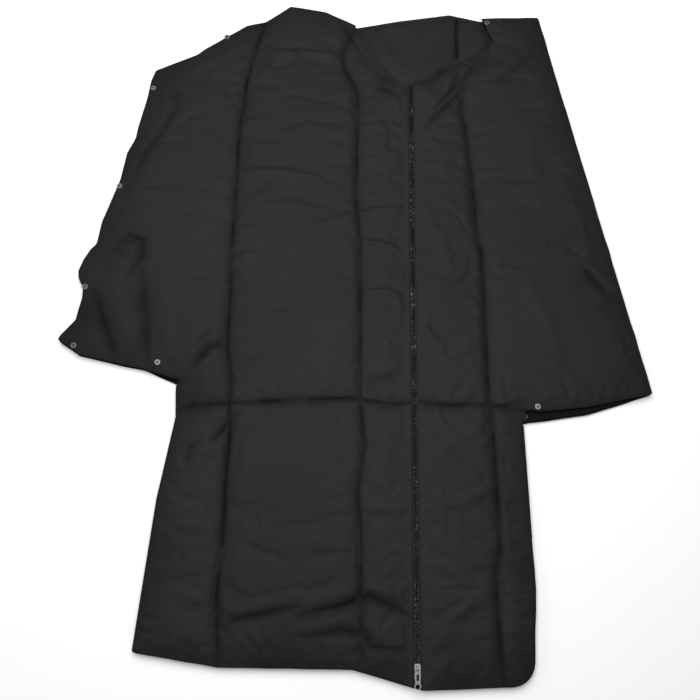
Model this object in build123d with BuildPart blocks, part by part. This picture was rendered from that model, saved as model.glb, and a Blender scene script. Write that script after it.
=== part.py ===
from build123d import *
from math import atan2, degrees, hypot
import os

# Infrared sauna blanket with sleeves, laid flat on its back, head end towards +Y, in millimetres.
# Every ply is cut flat. The back and the front lie one over the other, with the user's space between,
# and the front opens like a coat: two front panels along a separating zip, and a sleeve with press studs.

os.makedirs("parts", exist_ok=True)

# Plies, in the order in which they are laid up from the outside to the user
shell_t = 1.2
insulation_t = 3.6
foil_t = 0.4
heater_t = 1.0
lining_t = 0.8
stack_t = shell_t + insulation_t + foil_t + heater_t + lining_t
space_t = 6.0  # slack height left between back and front when the blanket lies empty
top_z = 2 * stack_t + space_t

# Folds that the plies are stitched and pressed along, and the gap that keeps two panels apart
left_fold_x = -292
right_fold_x = 325
sleeve_fold_foot = (-414, -207)
sleeve_fold_head = (-402, 757)
fold_gap = 0.5
seam_allowance = 15  # shell and lining alone, all round the filling of a panel
seam_width = 10

# Zip: a straight line from the hem to the neckline, slanting a little
zip_foot = (140, -893)
zip_head = (161, 640)
zip_z = top_z - shell_t - 0.4
zip_length = hypot(zip_head[0] - zip_foot[0], zip_head[1] - zip_foot[1])
zip_slant = degrees(atan2(zip_head[0] - zip_foot[0], zip_head[1] - zip_foot[1]))
zip_frame = Plane(origin=(*zip_foot, zip_z), z_dir=(0, 0, 1)).rotated((0, 0, -zip_slant))
panel_edge = 8  # from the middle of the zip to the edge of either front panel
tooth_inner = 1.1
tooth_outer = 4.9
tooth_half_t = 1.8
tape_half_t = 0.3
tape_outer = 20
slider_foot = 26
slider_head = 48
channel_clearance = 0.4

# Edges of the plies, anticlockwise from the left end of the hem
hem_left = (-478, -822)
hem_at_left_fold = (left_fold_x, -853)
hem_middle = (0, -858)
hem_at_zip = (149, -900)
hem_at_right_fold = (right_fold_x, -893)
hem_right = (392, -893)
hem_corner_radius = 55
right_side = [(409, -690), (405, -313)]
right_cuff_back = [(560, -290), (720, -241)]
right_cuff_front = [(416, -281), (445, -286), (560, -273), (720, -241)]
right_sleeve_edge = [(660, 99), (575, 576), (526, 862)]
right_shoulder_end = (362, 857)
shoulder_at_left_fold = (left_fold_x, 832)
left_shoulder = [(-172, 900), (-241, 845)]
left_sleeve_head = [(-427, 736), (-537, 683)]
left_sleeve_edge = [(-575, 469), (-642, 221), (-687, 82), (-672, 9), (-720, -103)]
left_cuff = [(-664, -142), (-500, -180)]
left_armpit = (-422, -215)
left_side = [(-417, -295), (-448, -490)]
neckline_left = [(122, 650), (57, 731), (13, 807)]
neckline_right = [(218, 637), (255, 680)]
neckline_at_right_fold = (right_fold_x, 716)
neckline_end = [(380, 746), (392, 783)]

# Press studs: the ring and socket are on the front ply, the stud and its cap on the back
sleeve_snaps = [(-538, 622), (-603, 320), (-664, 36), (-676, -119), (-469, -162)]
shoulder_snaps = [(-346, 790), (379, 838)]
cuff_ring = (441, -273)
cuff_stud = (415, -296)
ring_radius = 7.5
ring_hole_radius = 2.5
ring_height = 1.6
shank_radius = 3.2
socket_radius = 6.0
socket_height = 2.8
stud_radius = 3.2
stud_flange_t = 1.0
stud_height = 4.2
stud_clearance = 0.8
stud_shank_radius = 2.5
hole_clearance = 0.1

# Power inlet in the right side seam, near the foot
inlet_place = (392, -600)
inlet_length = 32
inlet_depth = 28
inlet_bottom = 3.0
inlet_height = 12.0
inlet_wall = 1.8
mouth_relief = 4  # the plies stop short of the inlet's mouth, so that a plug can reach it
pin_radius = 1.1

# Heating elements: flat carbon ribbon laid to and fro
ribbon = 10
upper_heater_right = 390
upper_heater_foot = -190
lower_heater_right = 345
cutout_size = (26, 10, 2.6)
sensor_size = (12, 5, 2.0)
cutout_place = (30, -240)
sensor_place = (-60, -240)
front_cutout_place = (-80, 30)


def save(part, label):
    """Label a finished piece and write it."""
    part.label = label
    export_step(part, f"parts/{label}.step")


def beside_zip(across, along):
    """Plan position of a point given from the foot of the zip."""
    place = zip_frame.from_local_coords(Vector(across, along, 0))
    return (place.X, place.Y)


def ply(label, outline, bottom, thickness, inset=0, holes=(), hole_radius=0, pockets=()):
    """A flat ply of the given outline, with stud holes and pockets for what is built in."""
    with BuildPart() as sheet:
        with BuildSketch(Plane.XY.offset(bottom)) as cut:
            with BuildLine():
                Polyline(*outline, close=True)
            make_face()
            if hem_right in outline:
                fillet(cut.vertices().sort_by_distance((*hem_right, bottom))[0], hem_corner_radius)
            if inset:
                offset(amount=-inset, kind=Kind.INTERSECTION, mode=Mode.REPLACE)
            if holes:
                with Locations(*holes):
                    Circle(hole_radius, mode=Mode.SUBTRACT)
        extrude(amount=thickness)
        for place, size in pockets:
            with Locations(place):
                Box(*size, align=(Align.CENTER, Align.CENTER, Align.MIN), mode=Mode.SUBTRACT)
    save(sheet.part, label)


def front_plies(name, outline, snaps=(), pockets=()):
    """The front's lining, foil, filling and shell over one outline, lining lowest."""
    hole = shank_radius + hole_clearance
    lining_z = stack_t + space_t
    foil_z = lining_z + lining_t + heater_t
    insulation_z = foil_z + foil_t
    ply(f"{name}_lining", outline, lining_z, lining_t, 0, snaps, hole, pockets)
    ply(f"{name}_foil", outline, foil_z, foil_t, seam_allowance, snaps, hole, pockets)
    ply(f"{name}_insulation", outline, insulation_z, insulation_t, seam_allowance, snaps, hole, pockets)
    ply(f"{name}_shell", outline, insulation_z + insulation_t, shell_t, 0, snaps, hole)


def heater(label, left, right, foot, head, level, runs):
    """A heating element: a flat ribbon in lengthwise runs, joined at alternate ends."""
    pitch = (right - left) / (runs - 1)
    with BuildPart() as element:
        with BuildSketch(Plane.XY.offset(level)):
            with Locations(*[(left + i * pitch, (foot + head) / 2) for i in range(runs)]):
                Rectangle(ribbon, head - foot)
            for i in range(runs - 1):
                link_y = foot + ribbon / 2 if i % 2 else head - ribbon / 2
                with Locations((left + (i + 0.5) * pitch, link_y)):
                    Rectangle(pitch, ribbon)
        extrude(amount=heater_t)
    save(element.part, label)


def block(label, place, size, bottom):
    """A small sealed component standing on a ply, with rounded upright edges."""
    with BuildPart() as component:
        with Locations((*place, bottom)):
            Box(*size, align=(Align.CENTER, Align.CENTER, Align.MIN))
        fillet(component.edges().filter_by(Axis.Z), 1.5)
    save(component.part, label)


def seam(label, outline):
    """A stitched seam that holds the front lining to the back lining."""
    with BuildPart() as strip:
        with BuildSketch(Plane.XY.offset(stack_t)):
            with BuildLine():
                Polyline(*outline, close=True)
            make_face()
        extrude(amount=space_t)
    save(strip.part, label)


def snap_fronts(name, places):
    """The rings with their hollow shanks, and the sockets under the front lining."""
    socket_top = stack_t + space_t
    with BuildPart() as rings:
        for place in places:
            with BuildSketch(Plane.XY.offset(top_z)):
                with Locations(place):
                    Circle(ring_radius)
            extrude(amount=ring_height)
        fillet(rings.faces().filter_by(Axis.Z).group_by(Axis.Z)[-1].edges(), 0.7)
        for place in places:
            with BuildSketch(Plane.XY.offset(socket_top)):
                with Locations(place):
                    Circle(shank_radius)
            extrude(amount=top_z - socket_top)
            with BuildSketch(Plane.XY.offset(socket_top)):
                with Locations(place):
                    Circle(ring_hole_radius)
            extrude(amount=top_z - socket_top + ring_height, mode=Mode.SUBTRACT)
    save(rings.part, f"{name}_snap_rings")
    with BuildPart() as sockets:
        with BuildSketch(Plane.XY.offset(socket_top - socket_height)):
            with Locations(*places):
                Circle(socket_radius)
                Circle(stud_radius + stud_clearance, mode=Mode.SUBTRACT)
        extrude(amount=socket_height)
    save(sockets.part, f"{name}_snap_sockets")


# Back panel ------------------------------------------------------------------------------------
back_outline = [
    hem_left, hem_at_left_fold, hem_middle, hem_at_zip, hem_at_right_fold, hem_right,
    *right_side, *right_cuff_back, *right_sleeve_edge, right_shoulder_end,
    (277, 879), (134, 858), (15, 834), (-70, 879), *left_shoulder, shoulder_at_left_fold,
    *left_sleeve_head, *left_sleeve_edge, *left_cuff, left_armpit, *left_side,
]
all_studs = [*sleeve_snaps, *shoulder_snaps, cuff_stud]
inlet_pocket = (
    (inlet_place[0] + mouth_relief / 2, inlet_place[1], inlet_bottom),
    (inlet_depth + mouth_relief, inlet_length, inlet_height),
)
pocket_z = shell_t + insulation_t - cutout_size[2]
sensor_z = shell_t + insulation_t - sensor_size[2]
back_pockets = [
    inlet_pocket,
    ((*cutout_place, pocket_z), cutout_size),
    ((*sensor_place, sensor_z), sensor_size),
]
cap_hole = ring_radius + hole_clearance
shank_hole = stud_shank_radius + hole_clearance
foil_z = shell_t + insulation_t
heater_z = foil_z + foil_t
lining_z = heater_z + heater_t

ply("back_shell", back_outline, 0, shell_t, 0, all_studs, cap_hole)
ply("back_insulation", back_outline, shell_t, insulation_t, seam_allowance, all_studs, shank_hole, back_pockets)
ply("back_foil", back_outline, foil_z, foil_t, seam_allowance, all_studs, shank_hole, [inlet_pocket])
heater("back_heater_upper", -390, upper_heater_right, upper_heater_foot, 590, heater_z, 14)
heater("back_heater_lower", -375, lower_heater_right, -820, -270, heater_z, 13)
ply("back_lining", back_outline, lining_z, lining_t, 0, all_studs, shank_hole, [inlet_pocket])
block("back_thermal_cutout", cutout_place, cutout_size, pocket_z)
block("temperature_sensor", sensor_place, sensor_size, sensor_z)

# Side of the front that stays with the back: left strip, and right strip with its sleeve ---------
left_strip_outline = [
    hem_left,
    (left_fold_x - fold_gap, hem_at_left_fold[1]),
    (left_fold_x - fold_gap, shoulder_at_left_fold[1]),
    (sleeve_fold_head[0] + fold_gap, sleeve_fold_head[1]),
    (sleeve_fold_foot[0] + fold_gap, sleeve_fold_foot[1]),
    left_armpit,
    *left_side,
]
front_plies("left_side", left_strip_outline, shoulder_snaps[:1])

right_side_outline = [
    (right_fold_x + fold_gap, hem_at_right_fold[1]), hem_right, *right_side, *right_cuff_front,
    *right_sleeve_edge, right_shoulder_end, *reversed(neckline_end),
    (right_fold_x + fold_gap, neckline_at_right_fold[1]),
]
front_plies("right_sleeve", right_side_outline, [shoulder_snaps[1], cuff_ring], [inlet_pocket])

# Seams between back and front
left_seam_line = [hem_left, *reversed(left_side), left_armpit]
seam("left_side_seam", left_seam_line + [(x + seam_width, y) for x, y in reversed(left_seam_line)])
right_seam_foot = (402, -770)
for label, line in {
    "right_side_seam_lower": [right_seam_foot, (407.5, -617)],
    "right_side_seam_upper": [(407.5, -583), (405, -316)],
}.items():
    seam(label, line + [(x - seam_width, y) for x, y in reversed(line)])
sleeve_fold_outer = [(714, -238), (655, 99), (570, 576), (522, 858), (404, 855)]
sleeve_fold_inner = [(404, 845), (512, 848), (560, 574), (645, 97), (703, -232)]
seam("right_sleeve_fold", sleeve_fold_outer + sleeve_fold_inner)

# Front panels -----------------------------------------------------------------------------------
front_left_outline = [
    (left_fold_x + fold_gap, hem_at_left_fold[1]),
    hem_middle,
    beside_zip(-panel_edge, 0),
    beside_zip(-panel_edge, zip_length),
    *neckline_left,
    (13, 834),
    (-70, 879),
    *left_shoulder,
    (left_fold_x + fold_gap, shoulder_at_left_fold[1]),
]
front_cutout_z = top_z - shell_t - cutout_size[2]
front_plies("front_left", front_left_outline, (), [((*front_cutout_place, front_cutout_z), cutout_size)])
front_heater_z = stack_t + space_t + lining_t
heater("front_left_heater", -262, 98, -820, 610, front_heater_z, 7)
block("front_thermal_cutout", front_cutout_place, cutout_size, front_cutout_z)

front_right_outline = [
    hem_at_zip,
    (right_fold_x - fold_gap, hem_at_right_fold[1]),
    (right_fold_x - fold_gap, neckline_at_right_fold[1]),
    *reversed(neckline_right),
    beside_zip(panel_edge, zip_length),
]
front_plies("front_right", front_right_outline)
heater("front_right_heater", 195, 297, -850, 600, front_heater_z, 3)

# Front ply of the left sleeve, which opens when its studs are undone
left_sleeve_outline = [
    (sleeve_fold_foot[0] - fold_gap, sleeve_fold_foot[1]),
    (sleeve_fold_head[0] - fold_gap, sleeve_fold_head[1]),
    *left_sleeve_head,
    *left_sleeve_edge,
    *left_cuff,
]
front_plies("left_sleeve", left_sleeve_outline, sleeve_snaps)

# Press studs -------------------------------------------------------------------------------------
snap_fronts("left_sleeve", sleeve_snaps)
snap_fronts("fixed", [*shoulder_snaps, cuff_ring])

with BuildPart() as studs:
    with BuildSketch(Plane.XY.offset(shell_t)):
        with Locations(*all_studs):
            Circle(stud_shank_radius)
    extrude(amount=stack_t - shell_t)
    with BuildSketch(Plane.XY.offset(stack_t)):
        with Locations(*all_studs):
            Circle(socket_radius)
    extrude(amount=stud_flange_t)
    with BuildSketch(Plane.XY.offset(stack_t + stud_flange_t)):
        with Locations(*all_studs):
            Circle(stud_radius)
    extrude(amount=stud_height - stud_flange_t)
    chamfer(studs.faces().filter_by(Axis.Z).group_by(Axis.Z)[-1].edges(), 0.5)
save(studs.part, "back_snap_studs")

with BuildPart() as caps:
    with BuildSketch():
        with Locations(*all_studs):
            Circle(ring_radius)
    extrude(amount=shell_t)
save(caps.part, "back_snap_caps")

# Power inlet -------------------------------------------------------------------------------------
with BuildPart() as inlet:
    with Locations((*inlet_place, inlet_bottom)):
        Box(inlet_depth, inlet_length, inlet_height, align=(Align.CENTER, Align.CENTER, Align.MIN))
    fillet(inlet.edges().filter_by(Axis.X), 2.5)
    mouth = inlet.faces().sort_by(Axis.X)[-1]
    with BuildSketch(mouth):
        RectangleRounded(inlet_height - 2 * inlet_wall, inlet_length - 2 * inlet_wall, 1.5)
    extrude(amount=-(inlet_depth - 2 * inlet_wall), mode=Mode.SUBTRACT)
save(inlet.part, "inlet_housing")

inlet_floor_x = inlet_place[0] - inlet_depth / 2 + 2 * inlet_wall
with BuildPart() as inlet_pins:
    pin_plane = Plane(
        origin=(inlet_floor_x, inlet_place[1], inlet_bottom + inlet_height / 2),
        x_dir=(0, 1, 0),
        z_dir=(1, 0, 0),
    )
    with BuildSketch(pin_plane):
        with GridLocations(6.5, 1, 4, 1):
            Circle(pin_radius)
    extrude(amount=inlet_depth - 5 * inlet_wall)
    fillet(inlet_pins.faces().sort_by(Axis.X)[-4:].edges(), 0.5)
save(inlet_pins.part, "inlet_pins")

# Flat leads from the inlet: one to each of the back elements
lead_width = 4
lead_turn_y = -200
lead_x = 370
inlet_inner_x = inlet_place[0] - inlet_depth / 2
with BuildPart() as harness:
    with BuildSketch(Plane.XY.offset(heater_z)):
        with Locations(((lower_heater_right + ribbon / 2 + inlet_inner_x) / 2, inlet_place[1])):
            Rectangle(inlet_inner_x - lower_heater_right - ribbon / 2, lead_width)
        with Locations((lead_x, (inlet_place[1] + lead_turn_y) / 2)):
            Rectangle(lead_width, lead_turn_y - inlet_place[1] + lead_width)
        with Locations(((lead_x + upper_heater_right) / 2, lead_turn_y)):
            Rectangle(upper_heater_right - lead_x + lead_width, lead_width)
        with Locations((upper_heater_right, (lead_turn_y + upper_heater_foot) / 2)):
            Rectangle(lead_width, upper_heater_foot - lead_turn_y)
    extrude(amount=heater_t)
save(harness.part, "wiring_harness")

# Zip ---------------------------------------------------------------------------------------------
pin_foot = slider_head + 1
pin_head = pin_foot + 18
teeth_head = zip_length - 12
stop_length = 5
box_foot = 10
box_head = slider_foot - 0.5


def bar(label, left, right, foot, head, half_t, edge=0.0):
    """A straight bar along the zip, its long edges rounded."""
    with BuildPart() as length_of_zip:
        with BuildSketch(zip_frame.offset(-half_t)):
            with Locations(((left + right) / 2, (foot + head) / 2)):
                Rectangle(right - left, head - foot)
        extrude(amount=2 * half_t)
        if edge:
            fillet(length_of_zip.edges().filter_by(lambda e: e.length > 0.9 * (head - foot)), edge)
    save(length_of_zip.part, label)


bar("zip_tape_left", -tape_outer, -tooth_outer, 2, zip_length - 2, tape_half_t)
bar("zip_tape_right", tooth_outer, tape_outer, 2, zip_length - 2, tape_half_t)
bar("zip_teeth_left", -tooth_outer, -tooth_inner, box_head, teeth_head, tooth_half_t, 0.6)
bar("zip_teeth_right", tooth_inner, tooth_outer, pin_head, teeth_head, tooth_half_t, 0.6)
bar("zip_top_stop_left", -tooth_outer, -tooth_inner, teeth_head, teeth_head + stop_length, 2.0, 0.5)
bar("zip_top_stop_right", tooth_inner, tooth_outer, teeth_head, teeth_head + stop_length, 2.0, 0.5)
bar("zip_insertion_pin", tooth_inner, tooth_outer, pin_foot, pin_head, 1.5, 0.5)

# The box at the foot of the left row, with the hole that takes the right row's pin
with BuildPart() as retainer_box:
    with BuildSketch(zip_frame.offset(-2.2)):
        with Locations(((tooth_outer - tooth_outer) / 2, (box_foot + box_head) / 2)):
            Rectangle(2 * tooth_outer - 0.4, box_head - box_foot)
    extrude(amount=4.4)
    fillet(retainer_box.edges().filter_by(Axis.Z), 1.0)
    with BuildSketch(zip_frame.offset(-1.7)):
        with Locations(((tooth_inner + tooth_outer) / 2 - 0.3, (box_foot + box_head) / 2 + 3)):
            Rectangle(2.6, box_head - box_foot)
    extrude(amount=3.4, mode=Mode.SUBTRACT)
save(retainer_box.part, "zip_retainer_box")

# Slider: two plates joined by the post between the rows, with a flange down each side
plate_gap = tooth_half_t + channel_clearance
plate_t = 1.6
flange_inner = tooth_outer + 0.6
slider_half_width = 7.0
post_half_width = 0.7
flange_slot = 0.8
crown_half_width = 2.4
crown_foot = 34
crown_head = 44
crown_height = 3.8
pivot_along = 39
pivot_up = plate_gap + plate_t + 2.0
pivot_radius = 0.85
slider_middle = (slider_foot + slider_head) / 2
with BuildPart() as slider:
    for bottom in (plate_gap, -plate_gap - plate_t):
        with BuildSketch(zip_frame.offset(bottom)):
            with BuildLine():
                Polyline(
                    (-slider_half_width, slider_head - 6),
                    (-slider_half_width + 0.8, slider_foot),
                    (slider_half_width - 0.8, slider_foot),
                    (slider_half_width, slider_head - 6),
                    (slider_half_width - 1.6, slider_head),
                    (-slider_half_width + 1.6, slider_head),
                    close=True,
                )
            make_face()
        extrude(amount=plate_t)
    with BuildSketch(zip_frame.offset(-plate_gap)):
        with Locations((0, slider_head - 5)):
            Rectangle(2 * post_half_width, 8)
    extrude(amount=2 * plate_gap)
    for bottom, height in ((flange_slot, plate_gap - flange_slot), (-plate_gap, plate_gap - flange_slot)):
        with BuildSketch(zip_frame.offset(bottom)):
            for side in (-1, 1):
                with Locations((side * (flange_inner + 0.35), slider_middle - 2)):
                    Rectangle(0.7, slider_head - slider_foot - 4)
        extrude(amount=height)
    with BuildSketch(zip_frame.offset(plate_gap + plate_t)):
        with Locations((0, (crown_foot + crown_head) / 2)):
            Rectangle(2 * crown_half_width, crown_head - crown_foot)
    extrude(amount=crown_height)
    crown_top = slider.faces().sort_by(Axis.Z)[-1]
    fillet(crown_top.edges().sort_by(Axis.Y)[:1] + crown_top.edges().sort_by(Axis.Y)[-1:], 1.6)
    pivot_plane = Plane(
        origin=zip_frame.from_local_coords(Vector(0, pivot_along, pivot_up)),
        x_dir=zip_frame.y_dir,
        z_dir=zip_frame.x_dir,
    )
    with BuildSketch(pivot_plane):
        Circle(pivot_radius + 0.08)
    extrude(amount=crown_half_width + 1, both=True, mode=Mode.SUBTRACT)
save(slider.part, "zip_slider")

# Pull tab: a fork round the crown, a neck and a round end with a hole, lying towards the hem
tab_t = 2.0
fork_slot = crown_half_width + 0.4
fork_half_width = 6.6
tab_end_radius = 8.0
tab_end_along = pivot_along - 36
tab_head = pivot_along + 1.5
with BuildPart() as pull_tab:
    with BuildSketch(zip_frame.offset(pivot_up - tab_t / 2)):
        with BuildLine():
            Polyline(
                (-fork_half_width, tab_head),
                (-fork_half_width, pivot_along - 12),
                (-fork_half_width + 1.0, tab_end_along + 9),
                (-tab_end_radius + 0.9, tab_end_along),
                (tab_end_radius - 0.9, tab_end_along),
                (fork_half_width - 1.0, tab_end_along + 9),
                (fork_half_width, pivot_along - 12),
                (fork_half_width, tab_head),
                close=True,
            )
        make_face()
        with Locations((0, tab_end_along)):
            Circle(tab_end_radius)
        with Locations((0, tab_end_along - 0.5)):
            Circle(4.2, mode=Mode.SUBTRACT)
        with Locations((0, pivot_along - 2)):
            Rectangle(2 * fork_slot, 2 * 7, mode=Mode.SUBTRACT)
    extrude(amount=tab_t)
    with BuildSketch(pivot_plane):
        Circle(pivot_radius + 0.02)
    extrude(amount=fork_half_width - 0.8, both=True, mode=Mode.SUBTRACT)
save(pull_tab.part, "zip_pull_tab")

with BuildPart() as pull_pin:
    with BuildSketch(pivot_plane):
        Circle(pivot_radius)
    extrude(amount=fork_half_width - 0.9, both=True)
save(pull_pin.part, "zip_pull_pin")
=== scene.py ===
import math

import bpy
import bmesh
import numpy as np
from mathutils import Matrix, Vector, geometry
from mathutils.bvhtree import BVHTree


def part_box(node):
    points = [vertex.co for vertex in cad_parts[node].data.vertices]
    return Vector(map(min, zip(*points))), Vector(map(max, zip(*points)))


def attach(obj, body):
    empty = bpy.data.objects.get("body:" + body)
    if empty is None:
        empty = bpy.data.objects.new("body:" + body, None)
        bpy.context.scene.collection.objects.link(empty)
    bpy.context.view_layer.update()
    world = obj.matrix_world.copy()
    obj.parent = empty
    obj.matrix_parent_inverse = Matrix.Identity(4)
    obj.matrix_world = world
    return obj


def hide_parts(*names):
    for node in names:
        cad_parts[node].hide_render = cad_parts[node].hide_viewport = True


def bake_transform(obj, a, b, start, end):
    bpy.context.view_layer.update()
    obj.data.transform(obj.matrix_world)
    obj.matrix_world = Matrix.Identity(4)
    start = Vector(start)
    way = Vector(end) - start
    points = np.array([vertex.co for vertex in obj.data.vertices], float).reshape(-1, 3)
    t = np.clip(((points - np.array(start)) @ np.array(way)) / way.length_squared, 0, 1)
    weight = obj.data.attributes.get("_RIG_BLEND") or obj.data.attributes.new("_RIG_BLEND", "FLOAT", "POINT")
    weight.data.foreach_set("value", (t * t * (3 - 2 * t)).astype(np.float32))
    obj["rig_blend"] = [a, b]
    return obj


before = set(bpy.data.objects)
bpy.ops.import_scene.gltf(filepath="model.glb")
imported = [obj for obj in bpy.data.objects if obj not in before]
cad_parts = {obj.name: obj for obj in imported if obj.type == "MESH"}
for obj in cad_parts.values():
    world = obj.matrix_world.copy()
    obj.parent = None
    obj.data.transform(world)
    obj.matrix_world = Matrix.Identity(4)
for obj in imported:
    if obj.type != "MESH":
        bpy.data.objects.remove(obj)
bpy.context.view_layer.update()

bl_info = {
    "name": "Infrared sauna blanket",
    "version": (1, 0, 0),
    "blender": (4, 5, 0),
    "location": "View3D > Sidebar > Sauna blanket",
    "description": "Makes a sleeved sauna blanket of padded black cloth with a zip and ring snaps, laid flat",
    "category": "Object",
}

MM = 0.001

# The two pressed folds that the front panels open along, and the two ends of the zip, in millimetres.
LEFT_FOLD = -292.0
RIGHT_FOLD = 325.0
SLEEVE_SPLIT = -352.0
ZIP_FOOT = np.array([140.0, -893.0])
ZIP_HEAD = np.array([161.0, 640.0])
ZIP_WAY = (ZIP_HEAD - ZIP_FOOT) / np.linalg.norm(ZIP_HEAD - ZIP_FOOT)
ZIP_SIDE = np.array([ZIP_WAY[1], -ZIP_WAY[0]])

# Below this height on the blanket, in millimetres, the left side strip doesn't lift with the sleeve.
UNDER_ARMHOLE = -240.0
ARMHOLE_EASE = 28

# Where the cloth bends at each joint, in metres: it starts to turn at the first point and has turned at the
# second.
SLEEVE_BEND = (-0.393, 0.275, 0), (-0.423, 0.275, 0)
LEFT_BEND = (-0.307, 0, 0), (-0.277, 0, 0)
RIGHT_BEND = (0.340, 0, 0), (0.310, 0, 0)

# How far the cloth beside the zip is held while it settles, in millimetres.
ZIP_HELD = 26

# Heights of the layers, in millimetres.
FRONT_TOP = 20.0
FRONT_UNDER = 13.85
FRONT_LINING = 13.0
ZIP_UNDER = 18.85
BACK_TOP = 4.75
BACK_LINING = 6.25
LINING_THICK = 0.75
TOP_LEAST = 15.8
TOP_MOST = 30.0


# ---------------------------------------------------------------- settings

class BlanketCloth(bpy.types.PropertyGroup):
    """Sizes of the padded cloth"""
    loft: bpy.props.FloatProperty(name="Loft",
                                  description="How far the filling lifts the cloth between its folds",
                                  default=0.0034, min=0, max=0.012, unit="LENGTH")
    fold_depth: bpy.props.FloatProperty(name="Fold depth", description="How deep the pressed folds lie",
                                        default=0.0052, min=0, max=0.008, unit="LENGTH")
    wrinkle_height: bpy.props.FloatProperty(name="Wrinkle height", description="Height of the loose wrinkles",
                                            default=0.0020, min=0, max=0.005, unit="LENGTH")
    grid: bpy.props.FloatProperty(name="Cloth grid",
                                  description="Spacing of the cloth's points before subdivision",
                                  default=0.0105, min=0.006, max=0.03, unit="LENGTH")
    pressure: bpy.props.FloatProperty(name="Filling pressure", description="Pressure that swells the cloth",
                                      default=4.0, min=0, max=10)
    slack: bpy.props.FloatProperty(name="Slack", description="Extra cloth, as a share of its length",
                                   default=0.03, min=0, max=0.08, subtype="FACTOR")
    cap: bpy.props.FloatProperty(name="Cap", description="Furthest that a point of the cloth may settle",
                                 default=0.0011, min=0, max=0.01, unit="LENGTH")


class BlanketZip(bpy.types.PropertyGroup):
    """Sizes of the zip"""
    pitch: bpy.props.FloatProperty(name="Tooth pitch",
                                   description="Distance from tooth to tooth along one row", default=0.003,
                                   min=0.002, max=0.006, unit="LENGTH")
    stitch: bpy.props.FloatProperty(name="Stitch length",
                                    description="Length of one stitch of the sewing thread", default=0.0042,
                                    min=0.002, max=0.008, unit="LENGTH")


def hex_colour(text):
    """A linear RGBA colour from an sRGB hex value."""
    parts = [int(text[i:i + 2], 16) / 255 for i in (1, 3, 5)]
    return tuple(c / 12.92 if c <= 0.04045 else ((c + 0.055) / 1.055) ** 2.4 for c in parts) + (1.0,)


class BlanketColours(bpy.types.PropertyGroup):
    """Colours of the cloth and the metal"""
    shell: bpy.props.FloatVectorProperty(name="Shell", description="Colour of the nylon shell",
                                         subtype="COLOR", size=4, min=0, max=1,
                                         default=hex_colour("#1a1a1a"))
    lining: bpy.props.FloatVectorProperty(name="Lining", description="Colour of the coated lining",
                                          subtype="COLOR", size=4, min=0, max=1,
                                          default=hex_colour("#1a1a1a"))
    metal: bpy.props.FloatVectorProperty(name="Nickel", description="Colour of the plated metal",
                                         subtype="COLOR", size=4, min=0, max=1,
                                         default=hex_colour("#62615e"))


# ---------------------------------------------------------------- plane geometry, in millimetres

def turned_area(loop):
    x, y = loop[:, 0], loop[:, 1]
    return 0.5 * float(np.sum(x * np.roll(y, -1) - y * np.roll(x, -1)))


def top_outline(node):
    """The outer edge of a CAD node's top face, anticlockwise."""
    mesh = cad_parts[node].data
    spots = [tuple(round(c / MM, 2) for c in v.co) for v in mesh.vertices]
    top = max(s[2] for s in spots)
    sides = set()
    for face in mesh.polygons:
        ring = [spots[i] for i in face.vertices]
        if all(abs(s[2] - top) < 0.01 for s in ring):
            sides.update((a[:2], b[:2]) for a, b in zip(ring, ring[1:] + ring[:1]))
    after = {a: b for a, b in sides if (b, a) not in sides}
    loops = []
    while after:
        start = next(iter(after))
        loop, spot = [start], after.pop(start)
        while spot != start:
            loop.append(spot)
            spot = after.pop(spot)
        loops.append(np.array(loop))
    return max(loops, key=turned_area)


def from_line(points, a, b):
    way = (b - a) / np.linalg.norm(b - a)
    off = points - a
    return np.abs(off[:, 0] * way[1] - off[:, 1] * way[0])


def opened_at(loop, a, b):
    """The loop, starting just after its side along the line a-b and ending just before it."""
    off = from_line(loop, a, b)
    side = np.linalg.norm(np.roll(loop, -1, 0) - loop, axis=1)
    cost = np.maximum(off, np.roll(off, -1)) + np.where(side > 300, 0, 1e6)
    return np.roll(loop, -int(np.argmin(cost)) - 1, axis=0)


def joined(first, second, a, b):
    """Two outlines as one piece of cloth, across the gap between them along the line a-b."""
    a, b = np.array(a, float), np.array(b, float)
    return np.vstack([opened_at(first, a, b), opened_at(second, a, b)])


def polyline_distance(points, line, closed=False):
    """Each point's distance to a polyline, how far along it from 0 to 1, and on which side the point lies."""
    line = np.asarray(line, float)
    ends = np.roll(line, -1, 0) if closed else line[1:]
    starts = line if closed else line[:-1]
    lengths = np.linalg.norm(ends - starts, axis=1)
    before = np.concatenate([[0], np.cumsum(lengths)[:-1]])
    best = np.full(len(points), 1e9)
    along = np.zeros(len(points))
    side = np.zeros(len(points))
    for a, b, length, done in zip(starts, ends, lengths, before):
        way = (b - a) / max(length, 1e-9)
        off = points - a
        run = np.clip(off @ way, 0, length)
        gap = off - run[:, None] * way
        distance = np.hypot(gap[:, 0], gap[:, 1])
        nearer = distance < best
        best = np.where(nearer, distance, best)
        along = np.where(nearer, done + run, along)
        side = np.where(nearer, np.sign(way[0] * off[:, 1] - way[1] * off[:, 0]), side)
    return best, along / max(lengths.sum(), 1e-9), side


def inside(points, loop):
    x, y = points[:, 0], points[:, 1]
    result = np.zeros(len(points), bool)
    for (x0, y0), (x1, y1) in zip(loop, np.roll(loop, -1, 0)):
        crosses = (y0 > y) != (y1 > y)
        with np.errstate(divide="ignore", invalid="ignore"):
            at = x0 + (y - y0) * (x1 - x0) / (y1 - y0)
        result ^= crosses & (x < at)
    return result


def spaced(line, step, closed=False):
    """Points about step apart along a polyline, its corners kept."""
    line = np.asarray(line, float)
    ends = np.roll(line, -1, 0) if closed else line[1:]
    starts = line if closed else line[:-1]
    spots = []
    for a, b in zip(starts, ends):
        count = max(1, round(float(np.linalg.norm(b - a)) / step))
        spots += [a + (b - a) * i / count for i in range(count)]
    if not closed:
        spots.append(line[-1])
    return np.array(spots)


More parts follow.
